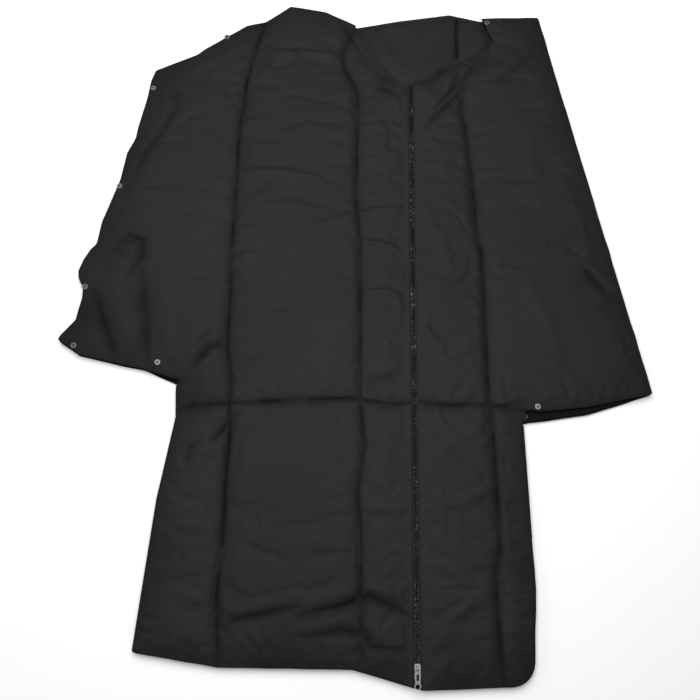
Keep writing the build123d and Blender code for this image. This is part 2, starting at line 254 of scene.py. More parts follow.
def eased(t):
    t = np.clip(t, 0, 1)
    return t * t * (3 - 2 * t)


def rounded(t):
    """Height of a rounded edge, from 0 at the rim to 1 inside."""
    t = np.clip(t, 0, 1)
    return np.sqrt(1 - (1 - t) ** 2)


def cloth_noise(points, size, seed):
    """Smooth random heights from -1 to 1, with features about size millimetres wide."""
    table = np.random.default_rng(seed).uniform(-1, 1, (64, 64))
    at = points / size
    cell = np.floor(at).astype(int)
    part = at - cell
    part = part * part * (3 - 2 * part)
    x0, y0 = cell[:, 0] % 64, cell[:, 1] % 64
    x1, y1 = (x0 + 1) % 64, (y0 + 1) % 64
    low = table[x0, y0] * (1 - part[:, 0]) + table[x1, y0] * part[:, 0]
    high = table[x0, y1] * (1 - part[:, 0]) + table[x1, y1] * part[:, 0]
    return low * (1 - part[:, 1]) + high * part[:, 1]


# ---------------------------------------------------------------- folds and wrinkles, in millimetres

# Folds pressed by packing: a line, how wide it is to one side, and its depth as a share of fold_depth.
PRESSED_FOLDS = [
    ([(-242, 845), (-263, 746), (-287, 631), (-289, 566), (-299, 519), (-300, 320), (-305, 147), (-302, 9),
      (-303, -124), (-290, -213), (-292, -263), (-286, -349), (-291, -432), (-291, -547), (-296, -658),
      (-299, -712), (-290, -853)], 7, 1.0),
    ([(13, 831), (-27, 729), (-18, 680), (15, 614), (14, 441), (11, 291), (21, 175), (21, 9), (20, -251),
      (31, -373), (12, -479), (19, -547), (18, -701), (22, -860)], 6.5, 0.9),
    ([(295, 860), (292, 763), (299, 535), (312, 395), (318, 218), (329, 119), (328, -58), (326, -226),
      (331, -313), (333, -490), (334, -603), (320, -669), (324, -893)], 6.5, 0.9),
    ([(-416, -276), (-350, -268), (-292, -263), (-124, -256), (-4, -251), (91, -268), (138, -263)], 6.5,
      1.0),
    ([(160, -262), (235, -270), (307, -268), (360, -276), (407, -281)], 6.5, 0.9),
]

# Loose wrinkles: a line, its height as a share of wrinkle_height (below 0 for a groove), and its width to one
# side.
WRINKLES = [
    ([(-213, 733), (-146, 738), (-18, 726)], 1.5, 11),
    ([(-160, 760), (-146, 738), (-135, 718)], -0.9, 9),
    ([(-301, 519), (-270, 520), (-239, 512)], 1.2, 12),
    ([(-287, 362), (-189, 362), (-91, 347), (-70, 306)], 1.3, 12),
    ([(-102, 203), (-17, 229), (48, 247), (135, 255)], 1.4, 11),
    ([(34, 161), (70, 156), (111, 141)], 1.1, 10),
    ([(-309, 113), (-270, 123), (-234, 127)], 1.2, 10),
    ([(-185, -45), (-155, -33), (-129, -13)], 1.2, 12),
    ([(33, 22), (90, 26), (134, -5)], 1.1, 11),
    ([(-305, -111), (-345, -126), (-384, -172)], -2.2, 8),
    ([(-300, -84), (-355, -104), (-402, -150)], 1.5, 14),
    ([(-285, -180), (-175, -142), (-66, -111)], 1.0, 13),
    ([(37, -238), (44, -206), (117, -193)], -1.1, 11),
    ([(169, -64), (190, -85), (217, -111)], 1.1, 10),
    ([(317, 353), (400, 362), (489, 359)], 1.0, 13),
    ([(322, 334), (400, 341), (480, 338)], -0.6, 9),
    ([(496, 729), (465, 700), (423, 663)], 0.9, 14),
    ([(578, 92), (606, 56), (641, 12)], -2.2, 9),
    ([(600, 96), (628, 64), (655, 30)], 1.0, 12),
    ([(585, 82), (560, 110), (520, 120)], 0.9, 13),
    ([(225, 560), (310, 668), (375, 735)], -2.0, 9),
    ([(205, 575), (285, 676), (350, 718)], 1.2, 13),
    ([(200, 505), (262, 575), (320, 640)], -1.9, 9),
    ([(232, 545), (290, 610), (345, 678)], 1.1, 12),
    ([(395, 640), (450, 690), (500, 732)], -1.1, 10),
    ([(-283, -297), (-302, -328), (-323, -354)], -2.6, 7),
    ([(-262, -300), (-280, -335), (-296, -372)], 1.0, 11),
    ([(-386, -409), (-381, -373), (-354, -349)], -1.0, 9),
    ([(-372, -415), (-362, -385), (-340, -366)], 0.7, 12),
    ([(35, -506), (95, -511), (138, -513)], 1.3, 14),
    ([(165, -513), (261, -490), (320, -467)], 1.5, 14),
    ([(-285, -775), (-258, -754), (-115, -727)], -2.0, 8),
    ([(-270, -738), (-200, -722), (-120, -704)], 1.2, 14),
    ([(-125, -748), (-49, -731), (40, -706), (128, -744)], -2.4, 10),
    ([(-90, -716), (-20, -698), (40, -682), (100, -700)], 2.2, 16),
    ([(-114, -790), (-26, -778), (22, -786), (44, -811), (105, -817)], -2.2, 8),
    ([(-90, -768), (-20, -757), (34, -764), (70, -790)], 1.5, 13),
    ([(-212, -807), (-180, -780), (-154, -754)], 1.0, 11),
    ([(347, -337), (350, -490), (345, -647)], 0.8, 16),
    ([(181, -817), (216, -754), (285, -701)], 1.1, 14),
    ([(-475, 614), (-466, 560), (-537, 426), (-592, 291)], -1.8, 11),
    ([(-505, 600), (-500, 540), (-560, 430)], 1.2, 16),
    ([(-500, 642), (-420, 690), (-339, 746)], 0.8, 15),
    ([(-596, 150), (-566, 182), (-529, 165), (-527, 119), (-560, 66)], -2.4, 11),
    ([(-571, 130), (-556, 148), (-548, 118)], 2.4, 15),
    ([(-640, 30), (-606, -58), (-571, -148)], -2.6, 13),
    ([(-606, 50), (-570, -30), (-530, -120)], 2.6, 20),
    ([(-528, 100), (-505, -45), (-494, -150)], -2.0, 12),
    ([(-480, 130), (-462, -20), (-452, -140)], 0.9, 20),
    ([(-354, 614), (-330, 580), (-315, 535)], 1.3, 11),
    ([(-266, 729), (-276, 680), (-282, 631)], 1.3, 9),
    ([(404, -251), (360, -262), (335, -268)], 1.2, 10),
    ([(-240, 700), (-200, 640), (-215, 580)], 0.9, 14),
    ([(-620, 230), (-560, 250), (-500, 235)], 1.0, 14),
    ([(-640, 120), (-600, 140), (-560, 120)], -1.0, 12),
    ([(-430, 560), (-400, 420), (-410, 300)], 0.8, 18),
    ([(410, 560), (470, 470), (480, 300)], 0.8, 22),
    ([(430, 60), (480, -40), (500, -160)], 0.9, 20),
    ([(560, 330), (590, 200), (600, 110)], 0.8, 18),
    ([(640, -60), (655, -140), (690, -200)], 1.0, 16),
    ([(460, -150), (520, -190), (560, -240)], 0.9, 16),
    ([(190, 250), (230, 180), (250, 60)], 0.8, 16),
    ([(180, -400), (230, -350), (300, -330)], 0.9, 14),
    ([(-250, -420), (-160, -400), (-60, -430)], 0.9, 16),
    ([(-230, -560), (-140, -590), (-40, -570)], 0.8, 18),
    ([(-430, -560), (-380, -540), (-320, -560)], 0.9, 14),
    ([(-450, -700), (-390, -690), (-320, -715)], 0.9, 14),
    ([(-230, 60), (-130, 90), (-40, 60)], 0.8, 18),
    ([(-250, 260), (-170, 270), (-60, 250)], 0.7, 16),
    ([(-200, 470), (-110, 500), (-20, 480)], 0.8, 18),
    ([(50, 560), (90, 480), (80, 380)], 0.8, 15),
]

# Folds in the back where it shows inside the neck: a line, its width and its height, below 0 for a groove.
NECK_FOLDS = [
    ([(296, 858), (293, 800), (290, 729)], 7, -1.2),
    ([(18, 828), (45, 775), (70, 735)], 12, -0.25),
    ([(75, 760), (110, 720), (140, 690)], 10, 0.5),
    ([(200, 690), (250, 725), (300, 760)], 12, 0.4),
    ([(120, 830), (180, 800), (240, 815)], 16, 0.4),
]

# Painted shade in the hollow beside the neckline, where the front's edge would shadow the back: lines, how
# wide they are and how deep the shade in them is.
NECKLINE_SHADE_LINES = [
    ([(-22, 818), (-2, 790), (10, 752), (36, 722), (44, 698)], 7, 0.8),
    ([(20, 712), (40, 700), (74, 664), (90, 656), (112, 638)], 7, 0.75),
    ([(78, 618), (115, 604), (150, 604)], 13, 0.45),
    ([(165, 638), (208, 652), (262, 688), (331, 722)], 13, 0.55),
    ([(352, 742), (370, 764), (378, 790)], 6, 0.5),
]

# Broad soft patches of painted shade where a cloth tilts away from the light: the middle of each, its radius
# and how deep the shade in it is.
SHADE_PATCHES = [
    ((-655, -40), 62, 0.34), ((-690, -110), 40, 0.25), ((-600, 205), 60, 0.2), ((-520, -10), 36, 0.26),
    ((-505, -110), 40, 0.24), ((-625, 90), 40, 0.18), ((-590, 420), 55, 0.2), ((-500, 650), 70, 0.16),
    ((640, -20), 70, 0.16), ((660, -190), 60, 0.2), ((500, 760), 70, 0.18), ((370, -840), 45, 0.3),
    ((375, -640), 40, 0.2), ((-420, -620), 60, 0.12), ((-150, -830), 60, 0.14), ((90, -860), 50, 0.26),
    ((-380, -250), 50, 0.22), ((560, 480), 60, 0.12), ((-300, 800), 60, 0.16), ((230, -850), 60, 0.12),
]

# The free edge of the left sleeve, from its tip up to the shoulder.
LEFT_SLEEVE_EDGE = [
    (-720, -103), (-714, -90), (-703, -77), (-691, -62), (-681, -50), (-677, -22), (-671, 9), (-672, 36),
    (-685, 60), (-688, 82), (-678, 112), (-663, 141), (-649, 158), (-645, 190), (-642, 221), (-624, 279),
    (-604, 347), (-595, 423), (-575, 469), (-572, 494), (-558, 572), (-546, 653), (-537, 683),
]

# Where the ring snaps press the front cloth down, and where their stud caps lie under the back.
SNAPS = [(-538, 622), (-603, 320), (-664, 36), (-676, -119), (-469, -162), (-346, 790), (379, 838),
         (441, -273)]
STUD_CAPS = SNAPS[:7] + [(415, -296)]

# Edges where front and back are sewn together; the others are open.
SEWN_EDGES = [
    [(-478, -822), (-448, -490), (-417, -295), (-420, -225)],
    [(392, -800), (407, -617), (405, -316)],
    [(720, -241), (660, 99), (575, 576), (526, 862)],
]


# Wrinkles at least this high and at most this wide get closer points. The last value is the number of faint
# stray wrinkles.
STRONG_SHARE = 1.0
STRONG_WIDTH = 12
STRAY_COUNT = 230


def strong_wrinkles():
    """The lines of the wrinkles that are steep enough to need closer points."""
    return [line for line, share, width in WRINKLES if abs(share) >= STRONG_SHARE and width <= STRONG_WIDTH]


def stray_wrinkles(seed, count, box):
    """Short faint wrinkles in every direction, mostly across the blanket, as loose cloth shows all over."""
    rng = np.random.default_rng(seed)
    found = []
    for _ in range(count):
        x, y = rng.uniform(box[0], box[1]), rng.uniform(box[2], box[3])
        heading = rng.normal(0.25 * math.copysign(1, rng.uniform(-1, 1)), 0.45)
        if rng.uniform() < 0.3:
            heading += math.pi / 2
        line = [(x, y)]
        for _ in range(4):
            step = rng.uniform(14, 42)
            heading += rng.normal(0, 0.28)
            x, y = x + step * math.cos(heading), y + step * math.sin(heading)
            line.append((x, y))
        found.append((line, rng.uniform(0.1, 0.4) * rng.choice([1, -1, -1]), rng.uniform(5, 10)))
    return found


def fold_heights(points, cloth):
    """Height of the pressed folds and all wrinkles over the front, in millimetres."""
    height = np.zeros(len(points))
    for line, width, share in PRESSED_FOLDS:
        gap, along, side = polyline_distance(points, line)
        depth = cloth.fold_depth / MM * share * (1 + 0.45 * cloth_noise(points, 70, 11))
        lean = np.where(side > 0, 0.6, 1.35)
        height -= depth * (0.75 * np.exp(-(gap / (width * lean)) ** 1.2)
                           + 0.25 * np.exp(-(gap / (3.5 * width)) ** 2))
    for line, share, width in WRINKLES + stray_wrinkles(5, STRAY_COUNT, (-700, 700, -880, 880)):
        low, high = np.min(line, 0) - 4 * width, np.max(line, 0) + 4 * width
        near = np.all((points > low) & (points < high), axis=1)
        if not near.any():
            continue
        gap, along, side = polyline_distance(points[near], line)
        taper = np.sin(np.pi * np.clip(0.08 + 0.84 * along, 0, 1)) ** 0.7
        steep = np.where(side > 0, 0.75, 1.35)
        height[near] += cloth.wrinkle_height / MM * share * taper * np.exp(-(gap / (width * steep)) ** 2)
    return height


def front_anchor(points, loop):
    """How far each point is from the nearest edge, pressed fold or the zip."""
    gap = polyline_distance(points, loop, True)[0]
    for line, _, _ in PRESSED_FOLDS:
        gap = np.minimum(gap, polyline_distance(points, line)[0])
    return gap


def beside_zip(points):
    """Distance across from the zip's line, large beyond its ends."""
    off = points - ZIP_FOOT
    along = off @ ZIP_WAY
    over = np.maximum(0, along - np.linalg.norm(ZIP_HEAD - ZIP_FOOT))
    return np.hypot(np.abs(off @ ZIP_SIDE), over)


def sewn(points):
    """1 at a sewn edge, fading to 0 beside it."""
    gap = np.min([polyline_distance(points, line)[0] for line in SEWN_EDGES], axis=0)
    return 1 - eased((gap - 6) / 30)


def seat(points, height, spots, level, radius):
    """Presses the cloth level round each snap."""
    for spot in spots:
        away = np.hypot(*(points - spot).T)
        height = height + (level - height) * (1 - eased((away - radius) / 14))
    return height


def front_top(points, loop, cloth):
    edge = polyline_distance(points, loop, True)[0]
    anchor = front_anchor(points, loop)
    loft = cloth.loft / MM * (0.3 + 0.7 * (1 - np.exp(-anchor / 60)))
    loft -= 3.6 * (1 - eased(edge / 62)) * eased(beside_zip(points) / 80)
    height = FRONT_TOP + loft + fold_heights(points, cloth) * eased(edge / 16 + 0.25)
    height += 1.0 * cloth_noise(points, 150, 3) + 0.22 * cloth_noise(points, 30, 4)
    height = np.clip(height, TOP_LEAST, TOP_MOST)
    zip_gap = beside_zip(points)
    height += (FRONT_TOP - height) * (1 - eased((zip_gap - 12) / 26))
    height = seat(points, height, SNAPS, FRONT_TOP - 0.05, 8.5)
    under = front_under(points)
    middle = 0.5 * (under + height) - 2.5 * sewn(points)
    return middle + (height - middle) * rounded(edge / np.where(zip_gap < 30, 3, 9))


def front_under(points):
    return FRONT_UNDER + (ZIP_UNDER - FRONT_UNDER) * (1 - eased((beside_zip(points) - 21) / 14))


def front_bottom(points, loop):
    edge = polyline_distance(points, loop, True)[0]
    under = front_under(points)
    middle = under + 2.2 * (1 - sewn(points))
    middle = np.minimum(middle, 19.4)
    return middle + (under - middle) * rounded(edge / 6)


# ---------------------------------------------------------------- cloth meshes

# Spacing of the points along a cloth's rim and along the lines in it, in millimetres.
RIM_STEP = 8.5
LINE_STEP = 9
SETTLING_FRAMES = 20

# Rows of points beside a front lining's rim, so that it reaches its own level before the foil's edge.
LINING_ROWS = 2.2, 5.2, 10.5

def thinned(points, fixed, gap):
    """The points that keep clear of the fixed ones, found on a coarse grid."""
    cells = {}
    for spot in fixed:
        cells.setdefault((int(spot[0] // gap), int(spot[1] // gap)), []).append(spot)
    kept = []
    for spot in points:
        i, j = int(spot[0] // gap), int(spot[1] // gap)
        near = [q for a in (-1, 0, 1) for b in (-1, 0, 1) for q in cells.get((i + a, j + b), ())]
        if all((q[0] - spot[0]) ** 2 + (q[1] - spot[1]) ** 2 > gap * gap for q in near):
            kept.append(spot)
            cells.setdefault((i, j), []).append(spot)
    return kept


def hex_points(loop, step, seed):
    """Staggered points inside an outline, a little out of line."""
    rng = np.random.default_rng(seed)
    low, high = loop.min(0), loop.max(0)
    rows = []
    for j, y in enumerate(np.arange(low[1], high[1], step * 0.866)):
        x = np.arange(low[0] + (j % 2) * step / 2, high[0], step)
        rows.append(np.column_stack([x, np.full(len(x), y)]))
    points = np.vstack(rows)
    points += rng.uniform(-0.12, 0.12, points.shape) * step
    return points[inside(points, loop)]


def triangulated(rim, lines, loose):
    """Triangles over a rim, with the lines among their edges: the points, the rim's first, and the faces."""
    points = [tuple(p) for p in rim]
    edges = [(i, (i + 1) % len(rim)) for i in range(len(rim))]
    for line in lines:
        start = len(points)
        points += [tuple(p) for p in line]
        edges += [(start + i, start + i + 1) for i in range(len(line) - 1)]
    points += [tuple(p) for p in loose]
    found, _, faces, origins, _, _ = geometry.delaunay_2d_cdt(
        [Vector(p) for p in points], edges, [], 1, 1e-4, True)
    order = {}
    for new, olds in enumerate(origins):
        for old in olds:
            if old < len(rim):
                order[new] = old
    rest = [i for i in range(len(found)) if i not in order]
    place = dict(order)
    place.update({old: len(rim) + k for k, old in enumerate(rest)})
    spots = np.zeros((len(rim) + len(rest), 2))
    for old, new in place.items():
        spots[new] = found[old]
    spots[:len(rim)] = rim
    faces = np.array([[place[i] for i in face] for face in faces])
    faces = faces[inside(spots[faces].mean(axis=1), np.asarray(rim))]
    return spots, [tuple(face) for face in faces.tolist()]


def settled(points, faces, held, cloth, name):
    """The cloth's points after a short simulation: filling swells it, and spare cloth buckles."""
    mesh = bpy.data.meshes.new(name)
    mesh.from_pydata([Vector(p) * MM for p in points], [], faces)
    piece = bpy.data.objects.new(name, mesh)
    bpy.context.scene.collection.objects.link(piece)
    group = piece.vertex_groups.new(name="held")
    for index, weight in enumerate(held):
        if weight > 0:
            group.add([index], float(weight), "REPLACE")
    modifier = piece.modifiers.new("Cloth", "CLOTH")
    settings = modifier.settings
    settings.quality = 5
    settings.mass = 0.25
    settings.tension_stiffness = 20
    settings.compression_stiffness = 20
    settings.shear_stiffness = 8
    settings.bending_stiffness = 1.5
    settings.air_damping = 2
    settings.use_pressure = True
    settings.uniform_pressure_force = cloth.pressure
    settings.shrink_min = settings.shrink_max = -cloth.slack
    settings.vertex_group_mass = "held"
    settings.effector_weights.gravity = 0
    modifier.collision_settings.use_collision = False
    modifier.point_cache.frame_start, modifier.point_cache.frame_end = 1, SETTLING_FRAMES
    scene = bpy.context.scene
    for number in range(1, SETTLING_FRAMES + 1):
        scene.frame_set(number)
    made = piece.evaluated_get(bpy.context.evaluated_depsgraph_get()).to_mesh()
    moved = np.array([v.co for v in made.vertices]) / MM
    piece.evaluated_get(bpy.context.evaluated_depsgraph_get()).to_mesh_clear()
    bpy.data.objects.remove(piece)
    bpy.data.meshes.remove(mesh)
    scene.frame_set(1)
    step = moved - points
    step -= 0.9 * spread_out(step, faces, 14)
    size = np.linalg.norm(step, axis=1, keepdims=True)
    cap = cloth.cap / MM
    print(name, "settled: mean", round(float(size.mean()), 2), "largest", round(float(size.max()), 2), "mm")
    return points + step * np.minimum(1, cap / np.maximum(size, 1e-9))


def spread_out(values, faces, rounds):
    """The values averaged with their neighbours' a number of times."""
    faces = np.array(faces)
    ends = np.vstack([faces[:, [0, 1]], faces[:, [1, 2]], faces[:, [2, 0]]])
    ends = np.unique(np.sort(ends, axis=1), axis=0)
    uses = np.bincount(ends.ravel(), minlength=len(values))[:, None]
    for _ in range(rounds):
        total = np.zeros_like(values)
        np.add.at(total, ends[:, 0], values[ends[:, 1]])
        np.add.at(total, ends[:, 1], values[ends[:, 0]])
        values = 0.4 * values + 0.6 * total / np.maximum(uses, 1)
    return values


def ring_points(spots, radii, counts):
    return [(x + r * math.cos(2 * math.pi * k / n), y + r * math.sin(2 * math.pi * k / n))
            for x, y in spots for r, n in zip(radii, counts) for k in range(n)]


def edge_rows(rim, insets):
    """Points that follow the rim at the given distances inside it."""
    ahead, behind = np.roll(rim, -1, 0), np.roll(rim, 1, 0)
    way = ahead - behind
    way /= np.maximum(np.linalg.norm(way, axis=1, keepdims=True), 1e-9)
    normal = np.column_stack([-way[:, 1], way[:, 0]])
    return [rim + normal * d for d in insets]


def closed_cloth(name, loop, upper, lower, cloth, lines=(), seats=(), step=10.5, coarse=26, rows=(2.2, 6.5),
                 settle=None, seed=1, sharp_lines=()):
    """A closed piece of cloth over an outline: a fine upper surface, a coarser lower one and a shared rim."""
    rim = spaced(loop, RIM_STEP, True)
    sway = cloth_noise(rim, 46, seed + 7) * 1.0 * eased((beside_zip(rim) - 14) / 40)
    sway = sway + np.random.default_rng(seed).uniform(-0.06, 0.06, len(rim))
    rim = rim + (edge_rows(rim, [1])[0] - rim) * sway[:, None]
    fixed = [tuple(p) for p in rim]
    near = []
    for row in edge_rows(rim, rows):
        row = row[inside(row, rim)]
        gap = polyline_distance(row, rim, True)[0]
        near += [tuple(p) for p in row[gap > 0.8 * rows[0]]]
    threads = []
    for line in lines:
        path = spaced(line, LINE_STEP)
        ok = inside(path, rim) & (polyline_distance(path, rim, True)[0] > 1.5 * rows[0])
        runs, run = [], []
        for spot, good in zip(path, ok):
            if good and all(math.hypot(spot[0] - q[0], spot[1] - q[1]) > 3 for r in threads for q in r):
                run.append(tuple(spot))
            elif run:
                runs.append(run)
                run = []
        if run:
            runs.append(run)
        threads += [r for r in runs if len(r) > 1]
    on_lines = [p for t in threads for p in t]
    for thread in threads:
        path = np.array(thread)
        if len(path) > 3 and abs(path[0][0] - path[-1][0]) > 0.01:
            way = np.gradient(path, axis=0)
            way /= np.linalg.norm(way, axis=1, keepdims=True)
            aside = np.column_stack([-way[:, 1], way[:, 0]])
            rows_beside = np.vstack([path + aside * d for d in (-7.5, -3.4, 3.4, 7.5)])
            good = inside(rows_beside, rim) & (polyline_distance(rows_beside, rim, True)[0] > 5)
            near += [tuple(p) for p in rows_beside[good]]
    here = np.array(seats, float).reshape(-1, 2)
    here = here[inside(here, rim)] if len(here) else here
    rings = [p for p in ring_points(here, (0.01, 4, 8.6, 12.5, 17), (1, 6, 16, 16, 18))]
    rings = [tuple(p) for p in np.array(rings).reshape(-1, 2) if len(rings)]
    if rings:
        good = inside(np.array(rings), rim) & (polyline_distance(np.array(rings), rim, True)[0] > 2.6)
        rings = [p for p, g in zip(rings, good) if g]
    near = thinned(near, on_lines + rings, 2.2)
    body = thinned([tuple(p) for p in hex_points(rim, step, seed)], fixed + near + on_lines + rings,
                   0.62 * step)
    flat, faces = triangulated(rim, threads, near + rings + body)
    high = upper(flat)
    top = np.column_stack([flat, high])
    count = len(rim)
    level = 0.5 * (upper(rim) + lower(rim))
    top[:count, 2] = level
    if settle is not None:
        top = settled(top, faces, settle(flat, count), cloth, name + "_settling")
        top[count:, 2] = np.clip(top[count:, 2], np.minimum(high[count:], TOP_LEAST), TOP_MOST)
    inner = thinned([tuple(p) for p in hex_points(rim, coarse, seed + 1)], fixed + near, 0.5 * coarse)
    cut = [t for t in threads if len(t) > 8 and abs(t[0][0] - t[-1][0]) < 0.01]
    base, under = triangulated(rim, cut, near + rings + inner)
    low = np.column_stack([base, lower(base)])[count:]
    vertices = np.vstack([top, low])
    shift = len(top) - count
    flipped = [tuple(i if i < count else i + shift for i in reversed(face)) for face in under]
    mesh = bpy.data.meshes.new(name)
    mesh.from_pydata([Vector(p) * MM for p in vertices], [], [tuple(f) for f in faces] + flipped)
    mesh.validate()
    piece = bpy.data.objects.new(name, mesh)
    bpy.context.scene.collection.objects.link(piece)
    tidy_normals(mesh)
    sharp = np.zeros(len(vertices), bool)
    for line in sharp_lines:
        sharp[count:len(top)] |= polyline_distance(flat[count:], line)[0] < 0.02
    if sharp.any():
        weights = mesh.attributes.new("crease_edge", "FLOAT", "EDGE")
        ends = np.zeros(2 * len(mesh.edges), int)
        mesh.edges.foreach_get("vertices", ends)
        weights.data.foreach_set("value", 0.8 * sharp[ends.reshape(-1, 2)].all(axis=1).astype(np.float32))
    apply_modifier(piece, "SUBSURF", levels=1, render_levels=1)
    mesh = piece.data
    mesh.shade_smooth()
    if sharp_lines:
        crease_shading(mesh, sharp_lines)
    return piece


def crease_shading(mesh, lines):
    """Marks the edges along the pressed folds as sharp, so that a fold's two sides meet at a clean line."""
    places = np.array([v.co for v in mesh.vertices]) / MM
    on_line = np.zeros(len(places), bool)
    for line in lines:
        on_line |= polyline_distance(places[:, :2], line)[0] < 0.45
    on_line &= places[:, 2] > 15
    ends = np.zeros(2 * len(mesh.edges), int)
    mesh.edges.foreach_get("vertices", ends)
    sharp = mesh.attributes.get("sharp_edge") or mesh.attributes.new("sharp_edge", "BOOLEAN", "EDGE")
    sharp.data.foreach_set("value", on_line[ends.reshape(-1, 2)].all(axis=1))


def tidy_normals(mesh):
    shape = bmesh.new()
    shape.from_mesh(mesh)
    bmesh.ops.recalc_face_normals(shape, faces=shape.faces)
    shape.to_mesh(mesh)
    shape.free()


def apply_modifier(piece, kind, **settings):
    choose(piece)
    modifier = piece.modifiers.new(kind.title(), kind)
    for key, value in settings.items():
        setattr(modifier, key, value)
    bpy.ops.object.modifier_apply(modifier=modifier.name)


def choose(*pieces):
    """Only these pieces selected, the first of them active."""
    if bpy.context.object and bpy.context.object.mode != "OBJECT":
        bpy.ops.object.mode_set(mode="OBJECT")
    bpy.ops.object.select_all(action="DESELECT")
    for piece in pieces:
        piece.select_set(True)
    if pieces:
        bpy.context.view_layer.objects.active = pieces[0]


def split_across(piece, x, west_name, east_name):
    """Two pieces of a cloth, cut along a line of its points at x. Both keep the whole's smooth shading."""
    mesh = piece.data
    places = np.array([v.co for v in mesh.vertices])
    normals = [n.vector.copy() for n in mesh.corner_normals]
    made = []
    for name, west in ((west_name, True), (east_name, False)):
        faces = [f for f in mesh.polygons if (f.center.x < x * MM) == west]
        used = sorted({i for f in faces for i in f.vertices})
        place = {old: new for new, old in enumerate(used)}
        part = bpy.data.meshes.new(name)
        part.from_pydata(places[used].tolist(), [], [tuple(place[i] for i in f.vertices) for f in faces])
        shape = bmesh.new()
        shape.from_mesh(part)
        shape.verts.ensure_lookup_table()
        open_edges = [e for e in shape.edges if e.is_boundary]
        filled = bmesh.ops.holes_fill(shape, edges=open_edges, sides=0)["faces"]
        bmesh.ops.triangulate(shape, faces=filled)
        shape.to_mesh(part)
        shape.free()
        part.shade_smooth()
        kept = [normals[i] for f in faces for i in f.loop_indices]
        kept += [part.polygons[f].normal.copy() for f in range(len(faces), len(part.polygons))
                 for _ in part.polygons[f].loop_indices]
        part.normals_split_custom_set(kept)
        half = bpy.data.objects.new(name, part)
        bpy.context.scene.collection.objects.link(half)
        made.append(half)
    bpy.data.objects.remove(piece)
    return made


def swept(name, path, profile):
    """A band of cloth along a path of (x, y, z) millimetre points. Its profile is (across, up) points."""
    path = np.asarray(path, float)
    way = np.gradient(path[:, :2], axis=0)
    way /= np.maximum(np.linalg.norm(way, axis=1, keepdims=True), 1e-9)
    across = np.column_stack([way[:, 1], -way[:, 0]])
    vertices, faces = [], []
    n = len(profile)
    for spot, side in zip(path, across):
        for a, up in profile:
            vertices.append((spot[0] + side[0] * a, spot[1] + side[1] * a, spot[2] + up))
    for i in range(len(path) - 1):
        for k in range(n):
            j = (k + 1) % n
            faces.append((i * n + k, i * n + j, (i + 1) * n + j, (i + 1) * n + k))
    faces.append(tuple(range(n))[::-1])
    faces.append(tuple(range((len(path) - 1) * n, len(path) * n)))
    mesh = bpy.data.meshes.new(name)
    mesh.from_pydata([Vector(v) * MM for v in vertices], [], faces)
    tidy_normals(mesh)
    mesh.shade_smooth()
    piece = bpy.data.objects.new(name, mesh)
    bpy.context.scene.collection.objects.link(piece)
    return piece


# ---------------------------------------------------------------- materials

def add_node(tree, kind, settings=None, **links):
    """Adds a node. Settings go to its properties or sockets by name; links are the sockets that feed it."""
    made = tree.nodes.new(kind)
    for key, value in (settings or {}).items():
        if isinstance(key, int) or key in made.inputs:
            made.inputs[key].default_value = value
        else:
            setattr(made, key, value)
    for key, source in links.items():
        socket = made.inputs[int(key[1:])] if key[1:].isdigit() else made.inputs[key.replace("_", " ")]
        tree.links.new(source, socket)
    return made


def finish_material(name, base, roughness, **sockets):
    """A new material and its shader, with the values that are the same all over it."""
    material = bpy.data.materials.new(name)
    material.use_nodes = True
    tree = material.node_tree
    tree.nodes.clear()
    values = {"Base Color": base, "Roughness": roughness}
    values.update(sockets)
    shader = add_node(tree, "ShaderNodeBsdfPrincipled", values)
    output = add_node(tree, "ShaderNodeOutputMaterial", None, Surface=shader.outputs[0])
    output.location = (300, 0)
    place = add_node(tree, "ShaderNodeTexCoord")
    return material, tree, shader, place.outputs["Object"]


def noise(tree, place, size, detail=3.0, roughness=0.5, distortion=0.0):
    """Noise with features about size metres wide."""
    return add_node(tree, "ShaderNodeTexNoise", {"Scale": 0.6 / size, "Detail": detail, "Roughness": roughness,
                                                 "Distortion": distortion}, Vector=place).outputs["Fac"]


def threads(tree, place, spacing, direction, distortion=1.0):
    """Parallel threads that are spacing metres apart. A wave repeats every 0.314 m at scale 1."""
    return add_node(tree, "ShaderNodeTexWave", {"bands_direction": direction, "Scale": 0.314159 / spacing,
                                                "Distortion": distortion, "Detail": 1.0, "Detail Scale": 0.6,
                                                }, Vector=place).outputs["Fac"]


def mixed(tree, factor, low, high):
    """A colour between two, by a factor."""
    made = add_node(tree, "ShaderNodeMix", {"data_type": "RGBA"})
    made.inputs[6].default_value, made.inputs[7].default_value = low, high
    tree.links.new(factor, made.inputs[0])
    return made.outputs[2]


def blended(tree, factor, first, second_colour):
    """A colour socket that turns towards a colour, by a factor."""
    made = add_node(tree, "ShaderNodeMix", {"data_type": "RGBA"})
    made.inputs[7].default_value = second_colour
    tree.links.new(first, made.inputs[6])
    tree.links.new(factor, made.inputs[0])
    return made.outputs[2]


def ranged(tree, value, low, high, to_low, to_high):
    return add_node(tree, "ShaderNodeMapRange", {1: low, 2: high, 3: to_low, 4: to_high}, _0=value).outputs[0]


def maths(tree, operation, a, b):
    made = add_node(tree, "ShaderNodeMath", {"operation": operation})
    for index, value in enumerate((a, b)):
        if isinstance(value, (int, float)):
            made.inputs[index].default_value = value
        else:
            tree.links.new(value, made.inputs[index])
    return made.outputs[0]


def bumped(tree, shader, height, distance, strength=1.0):
    made = add_node(tree, "ShaderNodeBump", {"Strength": strength, "Distance": distance}, Height=height)
    tree.links.new(made.outputs[0], shader.inputs["Normal"])


def times(colour, factor):
    return tuple(min(1.0, c * factor) for c in colour[:3]) + (1.0,)


def fold_shade(tree):
    """The painted shade that mark_shade kept with the cloth, from 0 to 1."""
    return add_node(tree, "ShaderNodeAttribute", {"attribute_name": "shade"}).outputs["Fac"]


